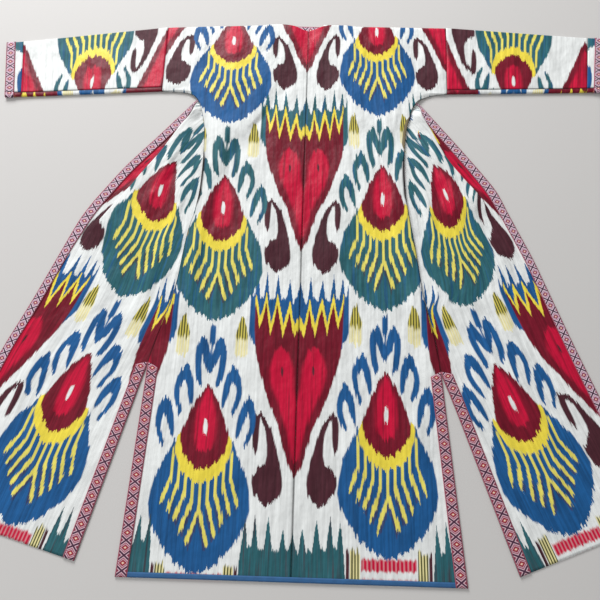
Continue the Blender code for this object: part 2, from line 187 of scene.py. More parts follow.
# Shares of the armhole at which sections start, and how far down the centre seam each ends
ARMHOLE_ROWS = ((0.0, 0.0), (0.045, 0.030), (0.25, 0.13), (0.5, 0.25), (0.75, 0.37), (1.0, 0.47))
SLIT_ROWS = 7
BACK_HEM_CORNER = 0.944
ARMPIT_ROW = len(ARMHOLE_ROWS) + 3

SIDE_LEFT = (
    (0.530, 0.940, 0.617), (0.590, 0.865, 0.622), (0.650, 0.800, 0.645), (0.715, 0.752, 0.705),
    (0.800, 0.722, 0.800), (0.920, 0.697, 0.920), (1.060, 0.688, 1.060), (1.220, 0.684, 1.220),
    (1.380, 0.687, 1.380), (1.540, 0.704, 1.540), (1.700, 0.737, 1.700), (1.820, 0.752, 1.820),
    (1.920, 0.762, 1.920), (2.020, 0.772, 2.020), (2.120, 0.790, 2.120), (2.220, 0.812, 2.220),
    (2.320, 0.838, 2.320), (2.440, 0.872, 2.440), (2.572, 0.900, 2.572),
)
SIDE_RIGHT = (
    (0.530, 0.915, 0.590), (0.590, 0.850, 0.612), (0.650, 0.792, 0.645), (0.715, 0.750, 0.705),
    (0.800, 0.718, 0.800), (0.920, 0.692, 0.920), (1.060, 0.678, 1.060), (1.220, 0.672, 1.220),
    (1.380, 0.676, 1.380), (1.540, 0.692, 1.540), (1.700, 0.715, 1.700), (1.820, 0.732, 1.820),
    (1.920, 0.744, 1.920), (2.020, 0.756, 2.020), (2.120, 0.772, 2.120), (2.220, 0.792, 2.220),
    (2.320, 0.815, 2.320), (2.440, 0.838, 2.440), (2.580, 0.855, 2.580),
)
EDGE_LEFT = (
    (0.777, 0.690), (1.011, 0.990), (1.194, 1.217), (1.372, 1.485), (1.458, 1.648), (1.584, 1.993),
    (1.660, 2.199), (1.800, 2.547), (2.066, 3.432),
)
EDGE_RIGHT = (
    (0.800, 0.680), (1.067, 1.039), (1.271, 1.329), (1.368, 1.571), (1.475, 1.830), (1.567, 2.102),
    (1.661, 2.379), (1.783, 2.716), (2.045, 3.372),
)
FOLDS = (
    Fold(0.00, 1.06, 180, 1.0), Fold(0.47, 1.06, 180, 1.0), Fold(0.53, 0.97, 180, 1.0),
    Fold(0.59, 0.90, 180, 1.0), Fold(0.65, 0.84, 180, 1.0), Fold(0.71, 0.78, 180, 1.0),
    Fold(1.22, 0.775, 180, 1.0), Fold(1.70, 0.79, 180, 1.0), Fold(1.92, 0.80, 180, 0.9),
    Fold(2.12, 0.80, 180, 0.7), Fold(2.22, 0.81, 150, 0.6), Fold(2.32, 0.82, 90, 0.5),
    Fold(2.44, 0.83, 25, 0.4), Fold(2.50, 0.83, 0, 0.4), Fold(3.80, 0.93, 0, 0.4),
)
PLEATS = (
    Pleat(0.00, 0.020, 0.000, 0), Pleat(0.08, 0.045, 0.020, 110), Pleat(0.16, 0.070, 0.050, 180),
    Pleat(0.28, 0.095, 0.090, 180), Pleat(0.45, 0.135, 0.090, 180), Pleat(0.62, 0.150, 0.070, 180),
    Pleat(0.80, 0.142, 0.040, 180), Pleat(0.91, 0.125, 0.014, 150), Pleat(1.00, 0.105, 0.004, 70),
    Pleat(1.10, 0.090, 0.002, 0), Pleat(4.00, 0.090, 0.002, 0),
)
CREASES_BACK_LEFT = (
    Ridge(0.66, 0.66, 0.52, 1.30, 0.0040, 0.055), Ridge(0.24, 0.64, 0.47, 0.99, 0.0032, 0.026),
    Ridge(0.43, 0.98, 0.67, 0.84, 0.0032, 0.026), Ridge(0.58, 0.20, 0.34, 0.62, 0.0024, 0.034),
    Ridge(0.66, 1.45, 0.70, 2.45, 0.0040, 0.045), Ridge(0.20, 1.10, 0.24, 2.00, 0.0018, 0.060),
    Ridge(0.46, 1.86, 0.66, 1.58, 0.0022, 0.022), Ridge(0.10, 2.02, 0.34, 2.10, 0.0013, 0.018),
    Ridge(0.70, 2.70, 0.62, 3.60, 0.0035, 0.070), Ridge(0.26, 2.60, 0.22, 3.70, 0.0025, 0.070),
    Ridge(0.05, 2.52, 0.36, 2.47, 0.0012, 0.017), Ridge(0.52, 2.44, 0.74, 2.20, 0.0022, 0.024),
    Ridge(0.44, 3.02, 0.52, 3.50, 0.0018, 0.040), Ridge(0.08, 0.16, 0.50, 0.10, 0.0014, 0.020),
)
CREASES_BACK_RIGHT = (
    Ridge(0.10, 0.12, 0.65, 0.53, 0.0034, 0.026), Ridge(0.42, 0.08, 0.62, 0.27, 0.0024, 0.020),
    Ridge(0.64, 0.62, 0.50, 1.16, 0.0040, 0.050), Ridge(0.65, 1.30, 0.52, 1.78, 0.0028, 0.024),
    Ridge(0.68, 1.50, 0.69, 2.05, 0.0036, 0.042), Ridge(0.18, 1.20, 0.22, 1.96, 0.0016, 0.055),
    Ridge(0.51, 2.64, 0.63, 2.30, 0.0026, 0.024), Ridge(0.64, 2.28, 0.75, 2.06, 0.0026, 0.022),
    Ridge(0.02, 2.37, 0.22, 2.43, 0.0014, 0.016), Ridge(0.04, 0.90, 0.30, 0.84, 0.0012, 0.018),
    Ridge(0.72, 2.74, 0.66, 3.56, 0.0034, 0.060), Ridge(0.30, 2.66, 0.24, 3.66, 0.0024, 0.065),
    Ridge(0.50, 3.04, 0.56, 3.42, 0.0018, 0.036), Ridge(0.30, 0.58, 0.12, 0.98, 0.0016, 0.036),
)
CREASES_FRONT_LEFT = (
    Ridge(0.84, 0.92, 1.06, 1.66, 0.0052, 0.028), Ridge(0.76, 1.20, 0.94, 2.10, 0.0040, 0.034),
    Ridge(0.94, 1.04, 1.24, 1.62, 0.0044, 0.024), Ridge(0.86, 1.70, 1.04, 2.42, 0.0036, 0.026),
    Ridge(0.80, 1.62, 1.00, 1.52, 0.0030, 0.022), Ridge(1.18, 1.86, 1.28, 2.60, 0.0036, 0.034),
    Ridge(1.20, 2.40, 1.40, 3.40, 0.0032, 0.050), Ridge(1.45, 1.95, 1.72, 3.20, 0.0042, 0.046),
    Ridge(1.02, 2.62, 1.36, 2.52, 0.0020, 0.020), Ridge(1.30, 2.86, 1.10, 3.34, 0.0026, 0.028),
    Ridge(1.56, 2.70, 1.38, 3.10, 0.0024, 0.024),
)
CREASES_FRONT_RIGHT = (
    Ridge(0.82, 0.88, 1.08, 1.56, 0.0054, 0.026), Ridge(0.75, 1.06, 0.90, 1.96, 0.0042, 0.032),
    Ridge(0.98, 1.20, 1.22, 1.84, 0.0044, 0.022), Ridge(0.78, 1.46, 0.98, 1.62, 0.0032, 0.022),
    Ridge(0.90, 1.72, 1.12, 2.30, 0.0036, 0.028), Ridge(1.10, 2.30, 1.02, 2.90, 0.0034, 0.030),
    Ridge(1.22, 2.10, 1.42, 3.36, 0.0034, 0.046), Ridge(1.46, 2.06, 1.74, 3.16, 0.0040, 0.044),
    Ridge(1.34, 2.62, 1.52, 3.22, 0.0030, 0.024), Ridge(0.96, 2.22, 1.26, 2.08, 0.0024, 0.022),
    Ridge(1.60, 2.92, 1.34, 3.26, 0.0022, 0.024),
)


def smooth(share: Any) -> Any:
    """Rises from 0 to 1 with a flat start and a flat end, for a number or an array."""
    share = np.clip(share, 0.0, 1.0)
    return share * share * (3 - 2 * share)


def lookup(rows: Sequence[Any], key: float) -> Any:
    """Reads a table between its rows.

    Args:
        rows: Named rows, in order of their first column.
        key: The place in the first column.

    Returns:
        A row of the same kind, worked out between the two nearest ones.
    """
    keys = [row[0] for row in rows]
    return type(rows[0])(*(float(np.interp(key, keys, column)) for column in zip(*rows)))


def ridge_height(ridges: Sequence[Ridge], x: Any, y: Any) -> Any:
    """Adds up soft folds at a place on a panel.

    Args:
        ridges: The folds.
        x: Distance out from the centre seam.
        y: Distance down from the shoulder.

    Returns:
        The height in metres.
    """
    total = 0.0 * x
    for ridge in ridges:
        run_x, run_y = ridge.x1 - ridge.x0, ridge.y1 - ridge.y0
        along = ((x - ridge.x0) * run_x + (y - ridge.y0) * run_y) / (run_x**2 + run_y**2)
        inside = np.clip(along, 0.0, 1.0)
        off = np.hypot(x - ridge.x0 - inside * run_x, y - ridge.y0 - inside * run_y)
        total = total + ridge.high * np.sin(math.pi * inside) * np.exp(-((off / ridge.wide) ** 2))
    return total


def arc(start: float, turn: float, length: float, share: float) -> tuple[float, float]:
    """Follows a stretch of cloth that turns evenly.

    Args:
        start: Its heading at the start, in radians.
        turn: How far it turns over its whole length.
        length: Its length in metres.
        share: How much of it is followed.

    Returns:
        How far it has run level and how far it has risen.
    """
    if abs(turn) < 1e-6:
        return length * share * math.cos(start), length * share * math.sin(start)
    angle = start + turn * share
    size = length / turn
    return size * (math.sin(angle) - math.sin(start)), size * (math.cos(start) - math.cos(angle))


def along_line(points: Sequence[Sequence[float]], distance: float) -> np.ndarray:
    """Finds the point this far along a line of points."""
    line = np.array(points, float)
    lengths = np.concatenate([[0], np.cumsum(np.hypot(*np.diff(line, axis=0).T))])
    return np.array([np.interp(distance, lengths, column) for column in line.T])


def eased(values: np.ndarray, counts: Sequence[int]) -> np.ndarray:
    """Puts smooth in-between rows into an array, without overshoot.

    Args:
        values: The rows to pass through, along the first axis.
        counts: How many steps each gap between rows becomes.

    Returns:
        The finer array.
    """
    steps = np.diff(values, axis=0)
    slopes = np.zeros_like(values)
    before, after = steps[:-1], steps[1:]
    same_way = before * after > 0
    slopes[1:-1] = np.where(same_way, 2 * before * after / np.where(same_way, before + after, 1), 0)
    slopes[0], slopes[-1] = steps[0], steps[-1]
    finer = []
    for index, count in enumerate(counts):
        share = (np.arange(count) / count).reshape(-1, *[1] * (values.ndim - 1))
        rise = share * share * (3 - 2 * share)
        finer.append(
            values[index] + steps[index] * rise
            + slopes[index] * (share**3 - 2 * share**2 + share)
            + slopes[index + 1] * (share**3 - share**2)
        )
    finer.append(values[-1:])
    return np.concatenate(finer)


@dataclass
class Surface:
    """The middle of a wall of cloth: world points, and where each one is on the woven cloth."""

    points: np.ndarray
    cloth: np.ndarray
    row_at: list[int] = field(default_factory=list)
    column_at: list[int] = field(default_factory=list)

    def refined(self, spacing: float) -> Surface:
        """Makes the grid finer.

        Args:
            spacing: The most that two neighbouring points may be apart, in metres.

        Returns:
            A new surface that passes through the same points.
        """
        values = np.concatenate([self.points, self.cloth], axis=-1)
        places = []
        for axis in (0, 1):
            values = np.moveaxis(values, axis, 0)
            gaps = np.linalg.norm(np.diff(values[..., :3], axis=0), axis=-1).max(axis=1)
            counts = [max(1, math.ceil(gap / spacing)) for gap in gaps]
            values = np.moveaxis(eased(values, counts), 0, axis)
            places.append([0, *np.cumsum(counts).tolist()])
        return Surface(values[..., :3], values[..., 3:], places[0], places[1])

    def normals(self) -> np.ndarray:
        """Unit normals, on the side that faces up over most of the surface."""
        normal = np.cross(np.gradient(self.points, axis=1), np.gradient(self.points, axis=0))
        normal /= np.maximum(np.linalg.norm(normal, axis=-1, keepdims=True), 1e-12)
        return normal

    def seam_distance(self) -> np.ndarray:
        """How far each point is from the nearer of its row's two ends, in metres."""
        steps = np.linalg.norm(np.diff(self.points, axis=1), axis=-1)
        from_start = np.concatenate([np.zeros((len(steps), 1)), np.cumsum(steps, axis=1)], axis=1)
        return np.minimum(from_start, from_start[:, -1:] - from_start)

    def strip(self, rows: slice, width: Sequence[float], from_start: bool, lift: float) -> Surface:
        """Cuts a strip along one edge of the panel and lays it on top.

        Args:
            rows: The rows that the strip follows.
            width: Its width in metres at each of those rows.
            from_start: Whether it lies along the first column.
            lift: How far above the panel's middle its own middle lies.

        Returns:
            The strip, its cloth measured in metres across and along.
        """
        points = self.points[rows] if from_start else self.points[rows, ::-1]
        lines = []
        for row, wide in zip(points, width):
            lengths = np.concatenate([[0], np.cumsum(np.linalg.norm(np.diff(row, axis=0), axis=1))])
            at = np.linspace(0, wide, 9)
            lines.append(np.stack([np.interp(at, lengths, column) for column in row.T], axis=-1))
        return laid_on(np.array(lines), lift)


def laid_on(points: np.ndarray, lift: float) -> Surface:
    """Lifts a strip off what it is sewn to.

    Args:
        points: The strip on the panel's middle, rows along it.
        lift: How far up it goes along its normals.

    Returns:
        The lifted strip, its cloth measured in metres: across, then along.
    """
    surface = Surface(points, points[..., :2])
    normal = surface.normals()
    facing = np.sign(np.median(normal[..., 2]))
    raised = points + normal * facing * lift
    along = np.concatenate([[0], np.cumsum(np.linalg.norm(np.diff(raised[:, 4], axis=0), axis=-1))])
    share = np.linspace(-1, 1, points.shape[1])
    across = np.broadcast_to(share, points.shape[:2])
    down = np.broadcast_to(along[:, None], points.shape[:2])
    return Surface(raised, np.stack([across, down], axis=-1))


@dataclass(frozen=True)
class RobeSide:
    """One side of the robe's cut: its armhole, side seam, open edge, folds and place of the pattern."""

    name: str
    sign: int
    arm: Arm
    side_line: tuple[tuple[float, float, float], ...]
    front_edge: tuple[tuple[float, float], ...]
    front_slit: tuple[float, float]
    pleat_end: float
    bunches: tuple[Bunch, ...]
    front_drop: float
    shoulder_drop: float
    back_widen: float
    medallion_drop: float
    # Stretches down the back: where a shadow is painted in the side seam, then where the lining is painted in its
    # shade
    gap_shadow_stretch: tuple[float, float]
    shaded_lining: tuple[tuple[float, float], ...]
    sleeve_axis: float
    sleeve_drop: float
    back_creases: tuple[Ridge, ...]
    front_creases: tuple[Ridge, ...]

    def body_rows(self) -> list[SlitPoint]:
        """Both ends of each section from the shoulder to the top of the slit."""
        top, low = np.array(self.arm.top), np.array(self.arm.low)
        rows = [SlitPoint(middle, *(top + (low - top) * share)) for share, middle in ARMHOLE_ROWS]
        return rows + [SlitPoint(*row) for row in self.side_line]

    def slit_points(self, start: Sequence[float], end: Sequence[float]) -> Iterator[tuple[float, float]]:
        """Section ends from just below the top of a slit to the hem."""
        for step in range(1, SLIT_ROWS + 1):
            place = np.array(start) + (np.array(end) - np.array(start)) * step / SLIT_ROWS
            yield float(place[0]), float(place[1])

    def front_sections(self) -> list[tuple[float, np.ndarray, np.ndarray]]:
        """For each section of a front: how far down the cloth it is, its side end and its open end."""
        rows = self.body_rows()
        ends = [np.array(row[1:]) for row in rows]
        downs = [row.middle for row in rows]
        for point in self.slit_points(ends[-1], self.front_slit):
            ends.append(np.array(point))
            downs.append(0.0)
        for row in range(ARMPIT_ROW + 1, len(ends)):
            downs[row] = downs[row - 1] + float(np.hypot(*(ends[row] - ends[row - 1])))
        neck, armpit = np.array(NECK_EDGE), np.array(self.front_edge[0])
        line = np.array(self.front_edge, float)
        whole = float(np.hypot(*np.diff(line, axis=0).T).sum())
        sections = []
        for down, end in zip(downs, ends):
            share = (down - EDGE_START) / (downs[-1] - EDGE_START)
            if share >= 0:
                open_end = along_line(self.front_edge, share * whole)
            else:
                open_end = neck + (armpit - neck) * down / EDGE_START
            sections.append((down, end, open_end))
        return sections

    def placed(self, rows: Any) -> np.ndarray:
        """Turns plan places and heights into points in the frame.

        Args:
            rows: Grids of x, y in loom widths and height in metres.

        Returns:
            The same grids in metres, mirrored for the left side.
        """
        grid = np.array(rows, float)
        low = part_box("back_right")[0]
        seam = float(low[0]) - GAP / 2
        hem = float(low[1])
        return np.stack(
            [
                seam + self.sign * grid[..., 0] * LOOM,
                hem + (LENGTH - grid[..., 1]) * LOOM,
                grid[..., 2],
            ],
            axis=-1,
        )


LEFT = RobeSide(
    name="left", sign=-1,
    arm=Arm((1.035, 0.050), (1.020, 0.615), (2.195, 0.234), (2.120, 0.700), 1.055),
    side_line=SIDE_LEFT, front_edge=EDGE_LEFT, front_slit=(1.174, 3.679), pleat_end=1.95,
    bunches=(
        Bunch(0.47, 0.17, 1.20), Bunch(0.95, 0.20, 1.20), Bunch(1.20, 0.245, 1.20), Bunch(1.47, 0.315, 1.20),
        Bunch(1.70, 0.43, 1.15), Bunch(1.78, 0.46, 1.12), Bunch(2.00, 0.47, 1.08), Bunch(2.24, 0.50, 1.0),
        Bunch(3.80, 0.51, 1.0),
    ),
    front_drop=0.085, shoulder_drop=0.075, back_widen=1.08, medallion_drop=0.115,
    gap_shadow_stretch=(1.02, 1.50), shaded_lining=((1.46, 1.56), (1.60, 1.74)), sleeve_axis=0.53, sleeve_drop=1.84,
    back_creases=CREASES_BACK_LEFT, front_creases=CREASES_FRONT_LEFT,
)
RIGHT = RobeSide(
    name="right", sign=1,
    arm=Arm((1.012, -0.005), (0.990, 0.580), (2.160, 0.066), (2.088, 0.532), 1.035),
    side_line=SIDE_RIGHT, front_edge=EDGE_RIGHT, front_slit=(1.225, 3.686), pleat_end=1.66,
    bunches=(
        Bunch(0.47, 0.18, 1.20), Bunch(0.95, 0.215, 1.20), Bunch(1.28, 0.255, 1.20), Bunch(1.50, 0.33, 1.20),
        Bunch(1.74, 0.385, 1.15), Bunch(1.83, 0.415, 1.12), Bunch(2.12, 0.45, 1.06), Bunch(2.24, 0.50, 1.0),
        Bunch(3.80, 0.50, 1.0),
    ),
    front_drop=0.080, shoulder_drop=0.045, back_widen=1.0, medallion_drop=0.015,
    gap_shadow_stretch=(1.02, 1.44), shaded_lining=((0.69, 1.05),), sleeve_axis=0.495, sleeve_drop=1.85,
    back_creases=CREASES_BACK_RIGHT, front_creases=CREASES_FRONT_RIGHT,
)


@dataclass(frozen=True)
class FrontPanel:
    """A front opened out to the side, pleated near its open edge and folded under its side seam."""

    side: RobeSide

    def frames(self) -> list[tuple[np.ndarray, float]]:
        """For each section, the direction outwards across the cloth and how far out its open edge is."""
        sections = self.side.front_sections()
        runs = [open_end - end for _, end, open_end in sections]
        first = ARMPIT_ROW + 1
        armpit_turn = math.atan2(-runs[first][1], runs[first][0])
        frames = []
        for index, ((down, _, _), run) in enumerate(zip(sections, runs)):
            if index >= first:
                frames.append((run / np.hypot(*run), float(np.hypot(*run))))
                continue
            turn = armpit_turn * float(smooth((down - TURN_START) / TURN_RUN))
            direction = np.array((math.cos(turn), -math.sin(turn)))
            frames.append((direction, float(np.dot(run, direction))))
        return frames

    def profile(self, down: float, out: float) -> list[tuple[float, float, float]]:
        """Follows the cloth across one section, from its open edge.

        Args:
            down: How far down the cloth the section is.
            out: How far out its open edge is from the side seam.

        Returns:
            Distance out from the side edge and height, in metres, and the place across the cloth.
        """
        fold = lookup(FOLDS, down)
        pleat = lookup(PLEATS, (down - PLEAT_START) / (self.side.pleat_end - PLEAT_START))
        tilt, turn = math.radians(pleat.turn), math.radians(fold.flap_turn)
        half = math.pi * ROLL
        pleat_roll = half * max(pleat.turn / 180, PLEAT_REST)
        flap_roll = half * fold.roll
        deep = pleat.deep * LOOM
        span = out * LOOM
        spare = fold.cut * LOOM - span - 2 * deep - 2 * pleat_roll * pleat.turn / 180 - flap_roll
        folded = fold.flap_turn / 180
        flap = max(spare / 2 * float(smooth(folded * 2 - 1)), LEAST_FLAP)
        strip = max(pleat.strip * LOOM, BRAID * LOOM) if down < PLEAT_START else pleat.strip * LOOM
        first = (strip + deep) if pleat.turn > 90 else strip
        braid = min(BRAID * LOOM, first * 0.6)
        stretches: list[tuple[float | None, float, int]] = [
            (braid, 0.0, 1), (first - braid, 0.0, 1), (pleat_roll, tilt, 4), (max(deep, 0.001), 0.0, 1),
            (pleat_roll, -tilt, 4), (None, 0.0, 12), (flap_roll, turn, 4), (flap, 0.0, 6),
        ]
        heading = reached = 0.0
        for length, bend, _ in stretches:
            if length is not None:
                reached += arc(heading, bend, length, 1.0)[0]
            heading += bend
        return self.followed(stretches, down, span, span - reached, strip)

    def followed(
        self, stretches: Sequence[tuple[float | None, float, int]], down: float, span: float, top: float,
        strip: float,
    ) -> list[tuple[float, float, float]]:
        """Lays the stretches of one section end to end.

        Args:
            stretches: Length, turn and steps of each; the plain top one has no length of its own.
            down: How far down the cloth the section is.
            span: How far out its open edge is, in metres.
            top: The length of the plain top stretch.
            strip: How much of the cloth shows outside the pleat.

        Returns:
            Distance out, height and the place across the cloth, for each point.
        """
        bunch = lookup(self.side.bunches, down)
        points = [(span, FLOOR, 0.0)]
        heading, along, height, used = 0.0, span, FLOOR, 0.0
        for place, (given, bend, pieces) in enumerate(stretches):
            is_top = given is None
            length = top if given is None else given
            fall = height - FLOOR
            edge_fall = max((span - strip) * 0.9, 0.02)
            stops = np.arange(1, pieces + 1) / pieces
            is_long_flap = place == len(stretches) - 1 and span < 0
            if is_long_flap:
                stops = self.flap_stops(span - along, length)
            start_out, start_used = (span - along) / LOOM, used
            if place == MIDDLE_LAYER:
                hidden = self.tucked(down, bunch.axis - strip / LOOM, used + length / LOOM)
            for stop in stops:
                level, rise = arc(heading, bend, length, float(stop))
                if is_top:
                    rise -= fall * float(smooth(length * stop / edge_fall))
                if is_long_flap:
                    rise -= fall * float(smooth((along - level - span - FLAP_CLEAR) / FLAP_SETTLE))
                used = start_used + length * float(stop) / LOOM
                if place == MIDDLE_LAYER:
                    used += hidden
                if is_top:
                    used = self.drawn(start_out, start_used, (span - along + level) / LOOM, bunch)
                points.append((along - level, height + rise, used))
            along, height = points[-1][:2]
            heading += bend
        return points

    def tucked(self, down: float, shown: float, used: float) -> float:
        """How much more cloth the pleat takes in than its depth, as it is gathered there.

        Args:
            down: How far down the cloth the section is.
            shown: How far it is from the pleat to the pattern's axis.
            used: The place across the cloth on the far side of the pleat, without the gathers.

        Returns:
            The cloth taken in, in loom widths.
        """
        end = self.side.pleat_end
        share = (down - PLEAT_START) / (end - PLEAT_START)
        gathered = float(smooth((share + 0.1) / 0.2) * smooth((0.98 - share) / 0.25))
        return gathered * max(0.0, 0.5 - used - GATHER * max(shown, 0.0))

    @staticmethod
    def drawn(start_out: float, start_used: float, out: float, bunch: Bunch) -> float:
        """Finds the place across the cloth where the bunched top stretch has been drawn together.

        Args:
            start_out: Distance from the open edge where the stretch comes out of the pleat.
            start_used: The place across the cloth there.
            out: Distance of the point from the open edge.
            bunch: Where the pattern's axis lies in this section.

        Returns:
            The place across the cloth, in loom widths.
        """
        axis = max(bunch.axis, start_out + 0.02)
        if out < axis:
            return start_used + (0.5 - start_used) * (out - start_out) / (axis - start_out)
        return 0.5 + (out - axis) * bunch.drawn

    @staticmethod
    def flap_stops(covered: float, length: float) -> np.ndarray:
        """Shares of the flap at which it passes the open edge below it and settles on the surface.

        Args:
            covered: How far the flap runs before it is clear of the open edge.
            length: Its whole length.

        Returns:
            Six rising shares, the last one 1.
        """
        past = covered + FLAP_CLEAR
        rest = length - past
        if rest > FLAP_SETTLE * 1.5:
            middle = (past + FLAP_SETTLE + length) / 2
            stops = (covered / 2, past, past + FLAP_SETTLE / 2, past + FLAP_SETTLE, middle, length)
        else:
            stops = (covered / 2, past, past + rest / 4, past + rest / 2, past + rest * 0.75, length)
        return np.array(stops) / length

    def sections(self) -> tuple[np.ndarray, np.ndarray]:
        """Works out the middle of the front's wall.

        Returns:
            Plan places with heights, and cloth places, a row for each section.
        """
        rows, cloth = [], []
        for (down, end, _), (direction, out) in zip(self.side.front_sections(), self.frames()):
            row, woven = [], []
            for along, height, used in self.profile(down, out):
                x, y = end + direction * (along / LOOM)
                if along > 0.02 * LOOM and height < FLOOR + LAYER * 2.5:
                    share = smooth(along / (0.15 * LOOM)) * smooth((out * LOOM - along) / (0.2 * LOOM))
                    height += float(ridge_height(self.side.front_creases, x, y) * share)
                row.append((x, y, height))
                woven.append((used, down - self.side.front_drop))
            rows.append(row)
            cloth.append(woven)
        return np.array(rows), np.array(cloth)


@dataclass(frozen=True)
class BackPanel:
    """One half of the back, from the centre seam over the folded front to the side seam."""

    side: RobeSide
    front: np.ndarray
    flap_points: int = 10

    def heights(self) -> list[tuple[float, float, float]]:
        """For each section: height over the hidden fold, height at the side, and the side edge's inset."""
        clear = WALL + GAP
        body = len(self.side.body_rows())
        heights = []
        for index, (down, _, _) in enumerate(self.side.front_sections()):
            turn = lookup(FOLDS, down).flap_turn if index < body else 0
            rest = float(self.front[index, -self.flap_points:, 2].max())
            inset = GAP + WALL / 2 * math.sin(math.radians(min(turn, 90)))
            if turn < FLAT_TURN:
                heights.append((FLOOR, FLOOR, inset))
            elif 0 < index < len(ARMHOLE_ROWS):
                heights.append((rest + clear, FLOOR + WALL + SLEEVE_HOLLOW, 0.0))
            else:
                inset = 0.0 if turn > 175 else inset
                heights.append((rest + clear, float(self.front[index, -1, 2]) + clear, inset))
        return heights

    def sections(self) -> tuple[np.ndarray, np.ndarray]:
        """Works out the middle of the back's wall.

        Returns:
            Plan places with heights, and cloth places, a row for each section.
        """
        rows = self.side.body_rows()
        body = len(rows)
        lowest = self.front[:body, :, 0].argmin(axis=1)
        fold_line = self.front[np.arange(body), lowest, :2]
        for x, y in self.side.slit_points(rows[-1][1:], (BACK_HEM_CORNER, LENGTH)):
            rows.append(SlitPoint(y, x, y))
        grid, cloth = [], []
        for index, (row, height) in enumerate(zip(rows, self.heights())):
            points = self.section(index, row, height, fold_line)
            grid.append(points)
            widen = self.side.back_widen + (1.05 - self.side.back_widen) * float(smooth((row.middle - 0.5) / 0.9))
            cloth.append([(x / widen, self.woven_at(y)) for x, y, _ in points])
        return np.array(grid), np.array(cloth)

    def woven_at(self, y: float) -> float:
        """Place down the cloth of a point on the back, a little less near the shoulder's fold."""
        return y - self.side.shoulder_drop * (1 - float(smooth(y / 0.5)))

    def section(
        self, index: int, row: SlitPoint, height: tuple[float, float, float], fold_line: np.ndarray
    ) -> list[tuple[float, float, float]]:
        """Works out one section of the back.

        Args:
            index: Which section it is, from the shoulder.
            row: Its two ends.
            height: Its height over the hidden fold and at the side, and the side's inset.
            fold_line: The hidden fold of the front, in plan.

        Returns:
            Plan places with heights.
        """
        crest_up, side_up, inset = height
        side_x = row.x - inset / LOOM
        open_x = float(self.front[index, 0, 0])

        def down_at(x: float) -> float:
            dip = NECK_DIP * max(0.0, 1 - x / NECK_HALF) * (1 - float(smooth(row.middle / NECK_FADE)))
            return row.middle + (row.y - row.middle) * (x / side_x) ** 1.6 + dip

        crest = side_x - EDGE_RUN
        for x in np.linspace(0.02, crest, 80):
            if x >= np.interp(down_at(x), fold_line[:, 1], fold_line[:, 0]) - CREST_MARGIN:
                crest = float(x)
                break
        foot = max(crest - CREST_RUN, 0.25 * crest)
        centre_up = FLOOR + (BRAID_WALL + GAP) * (1 - float(smooth((row.middle - 0.05) / 0.15)))
        points = []
        for x in self.columns(foot, crest, open_x, side_x):
            up = centre_up + (crest_up - centre_up) * float(smooth((x - foot) / (crest - foot)))
            if index == 0:
                flap = self.front[0, -7:]
                up = min(up, float(np.interp(x, flap[:, 0], flap[:, 2])) + WALL + GAP)
            elif index < len(ARMHOLE_ROWS):
                up += (side_up - crest_up) * float(smooth((x - open_x) / (side_x - EDGE_RUN - open_x)))
            else:
                up += (side_up - crest_up) * float(smooth((x - side_x + EDGE_RUN) / EDGE_RUN))
            away = smooth((side_x - x) / 0.10) * smooth(x / 0.10) * smooth((row.middle - 0.05) / 0.1)
            up += float(ridge_height(self.side.back_creases, x, down_at(x)) * away)
            points.append((x, down_at(x), up))
        return points

    @staticmethod
    def columns(foot: float, crest: float, open_x: float, side_x: float) -> list[float]:
        """Places across the back, close together where it climbs over what is folded below it.

        Args:
            foot: Where the climb starts.
            crest: Where it ends.
            open_x: Where the front's open edge is.
            side_x: Where the side seam is.

        Returns:
            Distances out from the centre seam.
        """
        seam = GAP / LOOM / 2
        braid_x = side_x - BRAID
        climb = [foot * 0.25, foot * 0.5, foot * 0.75, foot, (foot + crest) / 2, crest]
        settle = FLAP_SETTLE / LOOM
        beyond = [open_x + FLAP_CLEAR / LOOM + settle * share for share in (0, 0.5, 1)]
        beyond.insert(0, (crest + beyond[0]) / 2)
        if beyond[-1] >= braid_x:
            beyond = [crest + (braid_x - crest) * share for share in (0.25, 0.45, 0.64, 0.82)]
        if crest > braid_x - 0.1:
            climb = [foot * 0.2, foot * 0.4, foot * 0.6, foot * 0.8, foot]
            beyond = list(np.linspace(foot, braid_x, 7)[1:-1])
        return [seam, *climb, *beyond, braid_x, side_x - BRAID / 2, side_x]


